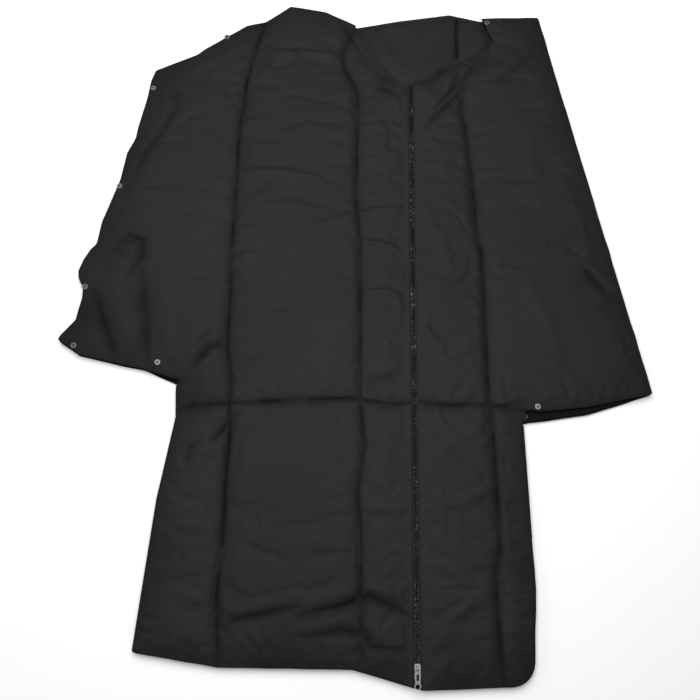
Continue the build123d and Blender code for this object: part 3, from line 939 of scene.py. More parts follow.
def nylon_oxford(colours):
    # Woven nylon oxford cloth, dyed black: matt with a soft low sheen, its threads just seen as a fine grain,
    # the dye very slightly brown in places. Painted shade darkens it and makes it rougher in its folds, near
    # its edges and where it tilts away from the light. Real threads are 0.5 mm apart; these are 2 mm, to show.
    base = tuple(colours.shell)
    material, tree, shader, place = finish_material(
        "nylon_oxford_black", base, 0.5, **{"Specular IOR Level": 0.11, "IOR": 1.5})
    broad = ranged(tree, noise(tree, place, 0.32, 2.0), 0.35, 0.65, 0.0, 1.0)
    warm = ranged(tree, noise(tree, place, 0.3, 2.0, 0.5, 0.4), 0.52, 0.72, 0.0, 0.55)
    grain = noise(tree, place, 0.006, 3.0, 0.6)
    colour = mixed(tree, broad, times(base, 0.88), times(base, 1.12))
    colour = blended(tree, warm, colour, hex_colour("#1f1a18"))
    colour = blended(tree, ranged(tree, grain, 0.35, 0.75, 0.0, 0.35), colour, times(base, 1.5))
    shade = fold_shade(tree)
    # Painted shade: darker where mark_shade marked shade.
    colour = blended(tree, maths(tree, "MULTIPLY", shade, 0.85), colour, times(base, 0.12))
    tree.links.new(colour, shader.inputs["Base Color"])
    rough = maths(tree, "ADD", ranged(tree, grain, 0.3, 0.7, 0.5, 0.6), maths(tree, "MULTIPLY", shade, 0.4))
    tree.links.new(rough, shader.inputs["Roughness"])
    weave = maths(tree, "MAXIMUM", threads(tree, place, 0.002, "X"), threads(tree, place, 0.002, "Y"))
    height = maths(tree, "ADD", maths(tree, "MULTIPLY", weave, 0.5), maths(tree, "MULTIPLY", grain, 0.9))
    bumped(tree, shader, height, 0.00016, 0.3)
    return material


def coated_lining(colours):
    # Polyurethane-coated polyester taffeta: smoother than the shell, with a faint gloss and fine crinkles.
    # Painted shade from mark_shade darkens it and makes it rougher in its folds and where the fronts would
    # shadow the back.
    base = tuple(colours.lining)
    material, tree, shader, place = finish_material(
        "lining_polyurethane_coated", base, 0.5, **{"Specular IOR Level": 0.1, "IOR": 1.5})
    crinkle = noise(tree, place, 0.02, 4.0, 0.6, 0.6)
    shade = fold_shade(tree)
    colour = mixed(tree, crinkle, times(base, 0.8), times(base, 1.35))
    # Painted shade: darker where mark_shade marked shade.
    colour = blended(tree, maths(tree, "MULTIPLY", shade, 0.9), colour, times(base, 0.1))
    tree.links.new(colour, shader.inputs["Base Color"])
    rough = maths(tree, "ADD", ranged(tree, crinkle, 0.3, 0.7, 0.42, 0.56),
                  maths(tree, "MULTIPLY", shade, 0.42))
    tree.links.new(rough, shader.inputs["Roughness"])
    bumped(tree, shader,
           maths(tree, "ADD", crinkle, maths(tree, "MULTIPLY", threads(tree, place, 0.0015, "X"), 0.1)),
           0.0012, 0.6)
    return material


def woven_band(name, base, spacing, roughness=0.7):
    # Woven polyester tape: a close herringbone of matt threads, with a painted highlight that makes the raised
    # ones slightly lighter.
    material, tree, shader, place = finish_material(name, base, roughness, **{"Specular IOR Level": 0.1})
    ribs = maths(tree, "MULTIPLY", threads(tree, place, spacing, "DIAGONAL", 0.4),
                 threads(tree, place, spacing, "Y", 0.4))
    dust = noise(tree, place, 0.004)
    # Painted highlight: the raised threads lighter.
    tree.links.new(mixed(tree, ribs, times(base, 0.75), times(base, 1.5)), shader.inputs["Base Color"])
    tree.links.new(ranged(tree, dust, 0.3, 0.7, roughness - 0.08, roughness + 0.1), shader.inputs["Roughness"])
    bumped(tree, shader, maths(tree, "ADD", ribs, dust), 0.0003, 0.8)
    return material


def needled_felt():
    # Needle-punched polyester felt: light grey, fully matt, a tangle of fine fibres.
    base = hex_colour("#a9a7a2")
    material, tree, shader, place = finish_material(
        "needled_polyester_felt", base, 0.95, **{"Specular IOR Level": 0.2, "Sheen Weight": 0.3})
    fibres = noise(tree, place, 0.003, 6.0, 0.7, 1.5)
    tree.links.new(mixed(tree, fibres, times(base, 0.7), times(base, 1.25)), shader.inputs["Base Color"])
    bumped(tree, shader, fibres, 0.0008)
    return material


def aluminised_foil():
    # Aluminised polyester film: a bright mirror broken up by small crumples.
    base = hex_colour("#d7d8da")
    material, tree, shader, place = finish_material("aluminised_polyester_film", base, 0.18, Metallic=1.0)
    crumple = add_node(tree, "ShaderNodeTexVoronoi", {"Scale": 1 / 0.018, "Randomness": 1.0},
                       Vector=place).outputs[0]
    soft = noise(tree, place, 0.01, 3.0)
    tree.links.new(ranged(tree, soft, 0.3, 0.7, 0.12, 0.3), shader.inputs["Roughness"])
    bumped(tree, shader, maths(tree, "ADD", crumple, soft), 0.0015, 0.7)
    return material


def carbon_ribbon():
    # Woven carbon-fibre heating ribbon in a clear film: near black, with painted glints that make its fibres
    # lighter along the bands.
    base = hex_colour("#1a1b1d")
    material, tree, shader, place = finish_material("carbon_fibre_heating_ribbon", base, 0.35,
                                                    **{"Coat Weight": 0.4, "Coat Roughness": 0.15})
    fibres = maths(tree, "MULTIPLY", threads(tree, place, 0.0025, "X", 0.5),
                   threads(tree, place, 0.0025, "Y", 0.5))
    # Painted glint: the fibres lighter along the bands.
    tree.links.new(mixed(tree, fibres, times(base, 0.6), hex_colour("#45474b")), shader.inputs["Base Color"])
    tree.links.new(ranged(tree, fibres, 0.0, 1.0, 0.5, 0.25), shader.inputs["Roughness"])
    bumped(tree, shader, fibres, 0.0003)
    return material


def acetal_teeth():
    # Moulded acetal resin: smooth black teeth, with grey specks painted on their crowns as glints of light.
    base = hex_colour("#0d0d0e")
    material, tree, shader, place = finish_material(
        "acetal_resin_moulded_black", base, 0.3, **{"IOR": 1.48, "Specular IOR Level": 0.1})
    patches = ranged(tree, noise(tree, place, 0.05, 3.0, 0.6), 0.46, 0.6, 0.0, 1.0)
    specks = ranged(tree, noise(tree, place, 0.0022, 2.0, 0.6), 0.52, 0.66, 0.0, 1.0)
    # Painted glints: grey specks on the crowns.
    painted_glints = maths(tree, "MULTIPLY", patches, specks)
    tree.links.new(mixed(tree, painted_glints, base, hex_colour("#707172")), shader.inputs["Base Color"])
    tree.links.new(ranged(tree, painted_glints, 0.0, 1.0, 0.26, 0.42), shader.inputs["Roughness"])
    bumped(tree, shader, noise(tree, place, 0.001, 2.0), 0.0001, 0.5)
    return material


def nickel_plate(colours):
    # Nickel plate on die-cast zinc: warm-grey metal, tumbled smooth, with small scuffs where hands rub it.
    base = tuple(colours.metal)
    material, tree, shader, place = finish_material("nickel_plated_zinc", base, 0.32, Metallic=1.0)
    scuffs = noise(tree, place, 0.004, 5.0, 0.7, 1.2)
    cast = noise(tree, place, 0.0009, 3.0, 0.6)
    colour = mixed(tree, ranged(tree, scuffs, 0.4, 0.7, 0.0, 1.0), base, times(base, 0.72))
    tree.links.new(colour, shader.inputs["Base Color"])
    tree.links.new(ranged(tree, scuffs, 0.3, 0.7, 0.2, 0.42), shader.inputs["Roughness"])
    bumped(tree, shader, cast, 0.00008, 0.5)
    return material


def black_nickel():
    # Black nickel on turned brass: smoky dark metal, so that the studs are dark centres in bright rings.
    base = hex_colour("#29292b")
    material, tree, shader, place = finish_material("black_nickel_on_brass", base, 0.36, Metallic=1.0)
    rubbed = noise(tree, place, 0.003, 4.0, 0.6, 0.8)
    colour = mixed(tree, ranged(tree, rubbed, 0.45, 0.7, 0.0, 1.0), base, times(base, 1.8))
    tree.links.new(colour, shader.inputs["Base Color"])
    tree.links.new(ranged(tree, rubbed, 0.3, 0.7, 0.3, 0.46), shader.inputs["Roughness"])
    bumped(tree, shader, noise(tree, place, 0.0008, 2.0), 0.00006, 0.5)
    return material


def moulded_polyamide():
    # Glass-filled polyamide, injection moulded with a fine spark-eroded texture: dull black, slightly uneven.
    base = hex_colour("#1b1b1c")
    material, tree, shader, place = finish_material("polyamide_moulded_black", base, 0.55, **{"IOR": 1.53})
    texture = noise(tree, place, 0.0012, 3.0, 0.65)
    colour = mixed(tree, noise(tree, place, 0.02), times(base, 0.85), times(base, 1.25))
    tree.links.new(colour, shader.inputs["Base Color"])
    tree.links.new(ranged(tree, texture, 0.3, 0.7, 0.48, 0.64), shader.inputs["Roughness"])
    bumped(tree, shader, texture, 0.00015, 0.7)
    return material


def turned_brass():
    # Turned brass contact pins: yellow metal with fine rings from the lathe.
    base = hex_colour("#d8b768")
    material, tree, shader, place = finish_material("brass_turned", base, 0.25, Metallic=1.0)
    rings = threads(tree, place, 0.0008, "X", 0.3)
    tree.links.new(mixed(tree, noise(tree, place, 0.003), base, times(base, 0.8)), shader.inputs["Base Color"])
    tree.links.new(ranged(tree, rings, 0.0, 1.0, 0.18, 0.34), shader.inputs["Roughness"])
    bumped(tree, shader, rings, 0.00005)
    return material


def silicone_lead():
    # Flat extruded silicone leads: soft dark red-brown rubber, matt, with faint drawing lines.
    base = hex_colour("#5a2a26")
    material, tree, shader, place = finish_material("silicone_rubber_extruded", base, 0.6, **{"IOR": 1.41})
    lines = threads(tree, place, 0.001, "X", 0.3)
    colour = mixed(tree, noise(tree, place, 0.01), times(base, 0.85), times(base, 1.2))
    tree.links.new(colour, shader.inputs["Base Color"])
    tree.links.new(ranged(tree, lines, 0.0, 1.0, 0.55, 0.68), shader.inputs["Roughness"])
    bumped(tree, shader, lines, 0.00006)
    return material


def studio_floor():
    # White paper backdrop: clean and matt.
    base = hex_colour("#f4f4f4")
    material, tree, shader, place = finish_material(
        "paper_backdrop_white", base, 0.9, **{"Specular IOR Level": 0.1})
    tree.links.new(mixed(tree, noise(tree, place, 0.5), times(base, 0.985), base), shader.inputs["Base Color"])
    return material


MAKERS = {
    "shell_nylon": lambda colours: nylon_oxford(colours),
    "lining_pu": lambda colours: coated_lining(colours),
    "insulation_felt": lambda colours: needled_felt(),
    "reflector_foil": lambda colours: aluminised_foil(),
    "carbon_ribbon": lambda colours: carbon_ribbon(),
    "seam_tape": lambda colours: woven_band("binding_polyester_woven", hex_colour("#232324"), 0.002),
    "zip_tape": lambda colours: woven_band("zip_tape_polyester_woven", hex_colour("#1a1a1a"), 0.0016, 0.55),
    "zip_teeth": lambda colours: acetal_teeth(),
    "nickel": lambda colours: nickel_plate(colours),
    "black_nickel": lambda colours: black_nickel(),
    "moulded_plastic": lambda colours: moulded_polyamide(),
    "contact_brass": lambda colours: turned_brass(),
    "wire_silicone": lambda colours: silicone_lead(),
    "thread": lambda colours: woven_band("sewing_thread_polyester", hex_colour("#2c2c2d"), 0.0012, 0.6),
}
FINISHES = {}


def finish(kind):
    if kind not in FINISHES:
        FINISHES[kind] = MAKERS[kind](bpy.context.scene.blanket_colours)
    return FINISHES[kind]


# The cuffs and armholes, where the back gets painted shade for the fronts' shadow: their highest and lowest y
# and least |x|.
CUFF_TOP = -85
CUFF_FOOT = -345
CUFF_SIDE = 395


def mark_shade(piece):
    """Keeps with a cloth the painted shade at each of its points, from 1 where it is darkest to 0 in the open:
    in the neckline's hollow, the back's neck folds and cuffs, and the fronts' folds, wrinkle grooves, tilted
    patches and edges.
    """
    mesh = piece.data
    places = np.zeros(3 * len(mesh.vertices))
    mesh.vertices.foreach_get("co", places)
    points = places.reshape(-1, 3)[:, :2] / MM
    shade = np.zeros(len(points))
    uneven = np.clip(0.74 + 0.5 * cloth_noise(points, 62, 51) + 0.3 * cloth_noise(points, 19, 52), 0.12, 1.15)
    # Painted shade in the hollow beside the neckline, where the front's edge would shadow the back.
    for line, width, share in NECKLINE_SHADE_LINES:
        gap = polyline_distance(points, line)[0]
        shade = np.maximum(shade, share * uneven * np.exp(-(gap / width) ** 1.6))
    if piece.name.startswith("back"):
        # Painted shade in the grooves of the back's neck folds.
        for line, width, share in NECK_FOLDS:
            gap = polyline_distance(points, line)[0]
            shade = np.maximum(shade, max(0, -share) * np.exp(-(gap / (0.7 * width)) ** 2))
        # Painted shade in the cuffs and armholes, where the fronts would shadow the back.
        across, upwards = np.abs(points[:, 0]), points[:, 1]
        cuff_shade = (eased((CUFF_TOP - upwards) / 30) * eased((upwards - CUFF_FOOT) / 20)
                 * eased((across - CUFF_SIDE) / 20))
        shade = np.maximum(shade, 0.85 * cuff_shade)
    else:
        # Painted shade in the pressed folds, and below it in the grooves of the wrinkles.
        for line, width, share in PRESSED_FOLDS:
            gap = polyline_distance(points, line)[0]
            painted_fold_shade = 0.62 * np.exp(-(gap / (0.62 * width)) ** 1.6) + 0.26 * np.exp(-(gap / (2.3 * width)) ** 2)
            shade = np.maximum(shade, share * uneven * painted_fold_shade)
        for line, share, width in WRINKLES:
            if share > 0:
                continue
            gap, along, side = polyline_distance(points, line)
            taper = np.sin(np.pi * np.clip(0.06 + 0.88 * along, 0, 1)) ** 0.6
            lean = width * np.where(side > 0, 0.6, 1.25)
            painted_fold_shade = min(1, -share / 3.1) * (0.5 + 0.5 * uneven) * taper
            shade = np.maximum(shade, painted_fold_shade * np.exp(-(gap / lean) ** 1.6))
        # Painted shade in broad patches where the cloth tilts away from the light.
        for middle, radius, share in SHADE_PATCHES:
            shade = 1 - (1 - shade) * (1 - share * np.exp(-(np.hypot(*(points - middle).T) / radius) ** 2))
        # Painted shade near the outer edges, where the rounded edge turns away from the light; none beside the
        # zip or along the neckline.
        loop = left_front_loop() if points[:, 0].mean() < 150 else right_front_loop()
        edge = polyline_distance(points, loop, True)[0]
        edge[(beside_zip(points) < 60)
             | ((points[:, 1] > 560) & (points[:, 0] > 0) & (points[:, 0] < 420))] = 1000
        shade = 1 - (1 - shade) * (1 - 0.36 * np.exp(-(edge / 20) ** 1.3))
    mesh.attributes.new("shade", "FLOAT", "POINT").data.foreach_set(
        "value", np.clip(shade, 0, 1).astype(np.float32))


def dress(piece, kind):
    if kind in ("shell_nylon", "lining_pu"):
        mark_shade(piece)
    piece.data.materials.clear()
    piece.data.materials.append(finish(kind))


# ---------------------------------------------------------------- what the pieces share

def cloth_settings():
    return bpy.context.scene.blanket_cloth


def closer_to_zip(loop):
    """The outline with its zip edge as close to the slider's side as it can lie."""
    beside = beside_zip(loop)
    off = (loop - ZIP_FOOT) @ ZIP_SIDE
    move = np.where((beside < 12) | ((np.abs(off) < 12) & (loop[:, 1] < -800)), -np.sign(off) * 0.9, 0)
    return loop + move[:, None] * ZIP_SIDE


def with_stretch(loop, stretch):
    """The outline, with the stretch between the ends of a line replaced by that line."""
    first, last = (int(np.argmin(np.linalg.norm(loop - end, axis=1))) for end in (stretch[0], stretch[-1]))
    order = (np.arange(len(loop)) + first) % len(loop)
    turned, at = loop[order], int(np.where(order == last)[0][0])
    if at <= len(loop) / 2:
        return np.vstack([stretch, turned[at + 1:]])
    return np.vstack([turned[:at], stretch[::-1]])[1:]


def back_loop():
    return with_stretch(top_outline("back_shell"), LEFT_SLEEVE_EDGE)


def left_front_loop():
    strip = joined(top_outline("left_sleeve_shell"), top_outline("left_side_shell"),
                   (-414, -207), (-402, 757))
    strip = with_stretch(strip, LEFT_SLEEVE_EDGE)
    return closer_to_zip(joined(strip, top_outline("front_left_shell"), (LEFT_FOLD, -800), (LEFT_FOLD, 800)))


def right_front_loop():
    sleeve = top_outline("right_sleeve_shell")
    return closer_to_zip(joined(top_outline("front_right_shell"), sleeve, (RIGHT_FOLD, -800),
                                (RIGHT_FOLD, 800)))


def held_points(loop):
    """How firmly each point of a front is held while it settles: fully at edges, folds, snaps and the zip."""
    def weights(points, rim_count):
        edge = polyline_distance(points, loop, True)[0]
        held = np.where(edge < 8, 1.0, 0.0)
        for line, _, _ in PRESSED_FOLDS:
            gap = polyline_distance(points, line)[0]
            held = np.maximum(held, np.where(gap < 4, 1.0, 0.0))
        held = np.where(beside_zip(points) < ZIP_HELD, 1.0, held)
        for spot in SNAPS:
            held = np.where(np.hypot(*(points - spot).T) < 19, 1.0, held)
        held[:rim_count] = 1.0
        return held
    return weights


def flat_size(loop):
    low, high = loop.min(0), loop.max(0)
    return tuple((high - low) * MM), abs(turned_area(loop)) * MM * MM


def inset_loop(loop, by):
    """The outline moved inwards, for a layer that lies inside another."""
    rim = spaced(loop, 12, True)
    row = edge_rows(rim, [by])[0]
    gap = polyline_distance(row, rim, True)[0]
    return row[(gap > 0.93 * by) & inside(row, rim)]


def left_part(loop, x, west):
    """The part of an outline on one side of a line across it."""
    points = []
    for a, b in zip(loop, np.roll(loop, -1, 0)):
        if (a[0] < x) == west:
            points.append(a)
        if (a[0] < x) != (b[0] < x):
            points.append(a + (b - a) * (x - a[0]) / (b[0] - a[0]))
    return np.array(points)


# ---------------------------------------------------------------- operators

class BLANKET_OT_stage(bpy.types.Operator):
    """Lays the plain floor, and sets the soft lights and the camera"""
    bl_idname = "blanket.stage"
    bl_label = "Stage"

    def execute(self, context):
        scene = context.scene
        scene.view_settings.view_transform = "Standard"
        choose()
        bpy.ops.mesh.primitive_plane_add(size=14, location=(0, 0, -0.0005))
        floor = context.object
        floor.name = "studio_floor"
        bpy.ops.object.mode_set(mode="EDIT")
        bpy.ops.mesh.subdivide(number_cuts=3)
        bpy.ops.object.mode_set(mode="OBJECT")
        bpy.ops.object.transform_apply(location=True)
        floor.data.materials.append(studio_floor())
        world = bpy.data.worlds.new("soft_room")
        world.use_nodes = True
        world.node_tree.nodes["Background"].inputs[0].default_value = hex_colour("#ffffff")
        world.node_tree.nodes["Background"].inputs[1].default_value = 0.22
        scene.world = world
        for name, spot, aim, size, power in (
                ("softbox_overhead", (-0.1, 0.75, 2.5), (-0.1, 0.751, 0), (2.5, 3.8), 108),
                ("softbox_left", (-3.0, 0.6, 1.5), (0, 0, 0), (1.6, 1.2), 16)):
            data = bpy.data.lights.new(name, "AREA")
            data.shape = "RECTANGLE"
            data.size, data.size_y = size
            data.energy = power
            lamp = bpy.data.objects.new(name, data)
            scene.collection.objects.link(lamp)
            lamp.location = spot
            lamp.rotation_euler = (Vector(aim) - Vector(spot)).to_track_quat("-Z", "Y").to_euler()
        view = bpy.data.cameras.new("front_view")
        view.sensor_width = 36
        view.lens = 43.71
        camera = bpy.data.objects.new("front_view", view)
        scene.collection.objects.link(camera)
        camera.location = (-0.00429, -0.8064, 1.9676)
        aim = Vector((-0.00429, -0.1238, 0.0))
        camera.rotation_euler = (aim - camera.location).to_track_quat("-Z", "Y").to_euler()
        scene.camera = camera
        return {"FINISHED"}


class BLANKET_OT_back(bpy.types.Operator):
    """Makes the padded back and its lining"""
    bl_idname = "blanket.back"
    bl_label = "Back"

    def execute(self, context):
        cloth = cloth_settings()
        loop = back_loop()

        fronts = (left_front_loop(), right_front_loop())

        def rise(points):
            """How far the back lifts where no front lies on it: in the neck and along the cuffs."""
            edge = polyline_distance(points, loop, True)[0]
            clear = np.min([np.where(inside(points, front), 0, polyline_distance(points, front, True)[0])
                            for front in fronts], axis=0)
            lift = 5.3 + 0.8 * cloth_noise(points, 60, 23) + 0.35 * cloth_noise(points, 22, 24)
            for line, width, share in NECK_FOLDS:
                lift += 3.4 * share * np.exp(-(polyline_distance(points, line)[0] / width) ** 1.5)
            neck = eased(clear / 16) * eased((edge + 4) / 30)
            return np.where(points[:, 1] > 600, lift * neck, 4.0 * eased(clear / 16) * (points[:, 1] > -330))

        def upper(points):
            edge = polyline_distance(points, loop, True)[0]
            lift = rise(points)
            middle = 2.6 + 0.6 * lift
            return middle + (BACK_TOP + lift - middle) * rounded(edge / 5)

        def lower(points):
            edge = polyline_distance(points, loop, True)[0]
            height = np.clip(0.45 + 0.35 * cloth_noise(points, 60, 21) + 0.2 * cloth_noise(points, 20, 22),
                             0.02, 1.1)
            for line, width, share in PRESSED_FOLDS:
                height = height + 0.6 * share * np.exp(-(polyline_distance(points, line)[0] / width) ** 1.3)
            height = seat(points, height, STUD_CAPS, 0.7, 8.2)
            middle = 2.6 + 0.6 * rise(points)
            return middle + (height - middle) * rounded(edge / 5)

        cover = closed_cloth("back_cover", loop, upper, lower, cloth, step=22, coarse=22, seats=STUD_CAPS,
                             seed=31)
        dress(cover, "shell_nylon")
        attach(cover, "root")
        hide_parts("back_shell", "back_insulation")

        lining = inset_loop(loop, 2.5)

        def lining_low(points):
            edge = polyline_distance(points, loop, True)[0]
            return BACK_LINING - 1.3 * (1 - eased(edge / 9)) + rise(points)

        def lining_high(points):
            return lining_low(points) + LINING_THICK

        sheet = closed_cloth("back_liner", lining, lining_high, lining_low, cloth, step=15, coarse=26,
                             seats=STUD_CAPS, seed=37)
        dress(sheet, "lining_pu")
        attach(sheet, "root")
        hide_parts("back_lining")
        size, area = flat_size(lining)
        return {"FINISHED"}


def bend_sleeve(piece):
    """Bends a piece between the back and the left sleeve. The side strip under the armhole stays on the back.
    """
    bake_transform(piece, "root", "left_sleeve", start=SLEEVE_BEND[0], end=SLEEVE_BEND[1])
    share = piece.data.attributes["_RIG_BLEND"].data
    values = np.zeros(len(share), np.float32)
    share.foreach_get("value", values)
    upwards = np.array([v.co.y for v in piece.data.vertices]) / MM
    share.foreach_set("value", (values * eased((upwards - UNDER_ARMHOLE) / ARMHOLE_EASE)).astype(np.float32))


def lining_heights():
    def low(points):
        drape = 0.25 * cloth_noise(points, 45, 61) + 0.15 * cloth_noise(points, 18, 62)
        near = 1 - eased((beside_zip(points) - 9) / 12)
        return FRONT_LINING - 0.35 + drape * (1 - near) + (17.05 - FRONT_LINING) * near

    def high(points):
        return low(points) + LINING_THICK
    return low, high


class BLANKET_OT_left_front(bpy.types.Operator):
    """Makes the left sleeve, side and front panel as one padded cloth, cut where it is held to the back"""
    bl_idname = "blanket.left_front"
    bl_label = "Left front"

    def execute(self, context):
        cloth = cloth_settings()
        loop = left_front_loop()
        cut = [(SLEEVE_SPLIT, -900), (SLEEVE_SPLIT, 900)]
        folds = [line for line, _, _ in PRESSED_FOLDS]
        lines = [cut] + folds + strong_wrinkles()
        whole = closed_cloth(
            "left_front", loop, lambda p: front_top(p, loop, cloth), lambda p: front_bottom(p, loop), cloth,
            lines=lines, seats=SNAPS, step=cloth.grid / MM, settle=held_points(loop), seed=41,
            sharp_lines=folds)
        sleeve, panel = split_across(whole, SLEEVE_SPLIT, "left_sleeve_cover", "front_left_cover")
        low, high = lining_heights()
        lining = inset_loop(loop, 3.0)
        inner = closed_cloth("left_lining", lining, high, low, cloth, lines=[cut], step=19, coarse=30,
                             rows=LINING_ROWS, seed=43)
        sleeve_liner, panel_liner = split_across(inner, SLEEVE_SPLIT, "left_sleeve_liner", "front_left_liner")
        for piece, body, nodes in (
                (sleeve, "left_sleeve", ("left_sleeve_shell", "left_sleeve_insulation")),
                (sleeve_liner, "left_sleeve", ("left_sleeve_lining",)),
                (panel, "front_left", ("front_left_shell", "front_left_insulation", "left_side_shell",
                                       "left_side_insulation")),
                (panel_liner, "front_left", ("front_left_lining", "left_side_lining"))):
            dress(piece, "lining_pu" if piece.name.endswith("liner") else "shell_nylon")
            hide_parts(*nodes)
            if body == "left_sleeve":
                bend_sleeve(piece)
            else:
                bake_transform(piece, "root", body, start=LEFT_BEND[0], end=LEFT_BEND[1])
        for piece, west in ((sleeve_liner, True), (panel_liner, False)):
            size, area = flat_size(left_part(lining, SLEEVE_SPLIT, west))
        return {"FINISHED"}


class BLANKET_OT_right_front(bpy.types.Operator):
    """Makes the right front panel, side and sleeve as one padded cloth"""
    bl_idname = "blanket.right_front"
    bl_label = "Right front"

    def execute(self, context):
        cloth = cloth_settings()
        loop = right_front_loop()
        folds = [line for line, _, _ in PRESSED_FOLDS]
        whole = closed_cloth(
            "front_right_cover", loop, lambda p: front_top(p, loop, cloth), lambda p: front_bottom(p, loop),
            cloth, lines=folds + strong_wrinkles(), seats=SNAPS, step=cloth.grid / MM,
            settle=held_points(loop), seed=51, sharp_lines=folds)
        dress(whole, "shell_nylon")
        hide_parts("front_right_shell", "front_right_insulation", "right_sleeve_shell",
                    "right_sleeve_insulation")
        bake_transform(whole, "root", "front_right", start=RIGHT_BEND[0], end=RIGHT_BEND[1])
        low, high = lining_heights()
        lining = inset_loop(loop, 3.0)
        inner = closed_cloth("front_right_liner", lining, high, low, cloth, step=19, coarse=30,
                             rows=LINING_ROWS, seed=53)
        dress(inner, "lining_pu")
        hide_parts("front_right_lining", "right_sleeve_lining")
        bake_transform(inner, "root", "front_right", start=RIGHT_BEND[0], end=RIGHT_BEND[1])
        size, area = flat_size(lining)
        return {"FINISHED"}


def binding_profile(thick, low, high):
    """A folded tape round the two edges, as (across, up) points."""
    profile = []
    for k in range(12):
        angle = 2 * math.pi * k / 12
        c, s = math.cos(angle), math.sin(angle)
        up = (high + low) / 2 + (high - low) / 2 * math.copysign(abs(s) ** 0.7, s)
        profile.append((thick * math.copysign(abs(c) ** 0.8, c), up))
    return profile


class BLANKET_OT_bindings(bpy.types.Operator):
    """Binds the sewn side edges and the right sleeve's fold"""
    bl_idname = "blanket.bindings"
    bl_label = "Bindings"

    def execute(self, context):
        for name, node, path in (
                ("left_side_binding", "left_side_seam",
                 [(-476, -818), (-447, -490), (-416, -297), (-420.5, -222)]),
                ("right_side_binding_lower", "right_side_seam_lower",
                 [(393, -802), (400, -720), (405, -620)]),
                ("right_side_binding_upper", "right_side_seam_upper", [(406, -580), (404, -318)]),
                ("right_sleeve_binding", "right_sleeve_fold",
                 [(717, -238), (657, 99), (572, 576), (524, 857)])):
            run = spaced(path, 9)
            lift = 0.5 * cloth_noise(run, 40, 71)
            piece = swept(name, np.column_stack([run, lift]), binding_profile(2.0, 3.2, 16.0))
            dress(piece, "seam_tape")
            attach(piece, "root")
            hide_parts(node)
        return {"FINISHED"}


def stitched(name, path, cover):
    """A row of sewing stitches that lies on a cover along a path of (x, y) millimetre points."""
    tree = BVHTree.FromPolygons([v.co for v in cover.data.vertices],
                                [tuple(f.vertices) for f in cover.data.polygons])
    length = bpy.context.scene.blanket_zip.stitch / MM
    vertices, faces = [], []
    for run in path:
        run = np.asarray(run, float)
        steps = np.concatenate([[0], np.cumsum(np.linalg.norm(np.diff(run, axis=0), axis=1))])
        for start in np.arange(0, steps[-1] - length, length):
            ends = [np.array([np.interp(start + length * t, steps, run[:, k]) for k in (0, 1)])
                    for t in (0.08, 0.5, 0.92)]
            way = (ends[2] - ends[0]) / max(np.linalg.norm(ends[2] - ends[0]), 1e-9)
            side = np.array([-way[1], way[0]])
            spots = []
            for end in ends:
                hit = tree.ray_cast(Vector((end[0] * MM, end[1] * MM, 0.06)), Vector((0, 0, -1)))[0]
                if hit is None:
                    break
                spots.append((end, hit.z / MM))
            if len(spots) < 3:
                continue
            first = len(vertices)
            vertices.append((*spots[0][0], spots[0][1] - 0.25))
            middle, level = spots[1]
            for across, up in ((-0.38, 0.0), (0.0, 0.42), (0.38, 0.0), (0.0, -0.3)):
                vertices.append((*(middle + side * across), level + up))
            vertices.append((*spots[2][0], spots[2][1] - 0.25))
            for k in range(4):
                j = (k + 1) % 4
                faces.append((first, first + 1 + j, first + 1 + k))
                faces.append((first + 5, first + 1 + k, first + 1 + j))
    mesh = bpy.data.meshes.new(name)
    mesh.from_pydata([Vector(v) * MM for v in vertices], [], faces)
    tidy_normals(mesh)
    mesh.shade_smooth()
    piece = bpy.data.objects.new(name, mesh)
    bpy.context.scene.collection.objects.link(piece)
    dress(piece, "thread")
    return piece


def open_runs(loop, by, wanted):
    """Runs of the line that lies inside an outline by a distance, where its points are wanted."""
    rim = spaced(loop, 6, True)
    row = edge_rows(rim, [by])[0]
    gap = polyline_distance(row, rim, True)[0]
    good = (gap > 0.9 * by) & inside(row, rim) & (sewn(row) < 0.6) & wanted(row)
    runs, run = [], []
    for spot, ok in zip(row, good):
        if ok:
            run.append(spot)
        elif run:
            runs.append(run)
            run = []
    if run:
        runs.append(run)
    return [np.array(r) for r in runs if len(r) > 3]


class BLANKET_OT_stitching(bpy.types.Operator):
    """Sews the rows of stitches along the open edges and the zip"""
    bl_idname = "blanket.stitching"
    bl_label = "Stitching"

    def execute(self, context):
        left, right = left_front_loop(), right_front_loop()
        for name, loop, cover, wanted, by in (
                ("left_sleeve_stitching", left, "left_sleeve_cover", lambda p: p[:, 0] < SLEEVE_SPLIT - 3, 7),
                ("front_left_stitching", left, "front_left_cover",
                 lambda p: (p[:, 0] > SLEEVE_SPLIT + 3) & (beside_zip(p) > 18), 7),
                ("zip_left_stitching", left, "front_left_cover", lambda p: beside_zip(p) < 18, 3.2),
                ("front_right_stitching", right, "front_right_cover", lambda p: beside_zip(p) > 18, 7),
                ("zip_right_stitching", right, "front_right_cover", lambda p: beside_zip(p) < 18, 3.2)):
            piece = stitched(name, open_runs(loop, by, wanted), bpy.data.objects[cover])
            if name.startswith("left_sleeve"):
                bend_sleeve(piece)
            elif name == "front_left_stitching":
                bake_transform(piece, "root", "front_left", start=LEFT_BEND[0], end=LEFT_BEND[1])
            elif name == "front_right_stitching":
                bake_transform(piece, "root", "front_right", start=RIGHT_BEND[0], end=RIGHT_BEND[1])
            else:
                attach(piece, "front_left" if "left" in name else "front_right")
        return {"FINISHED"}


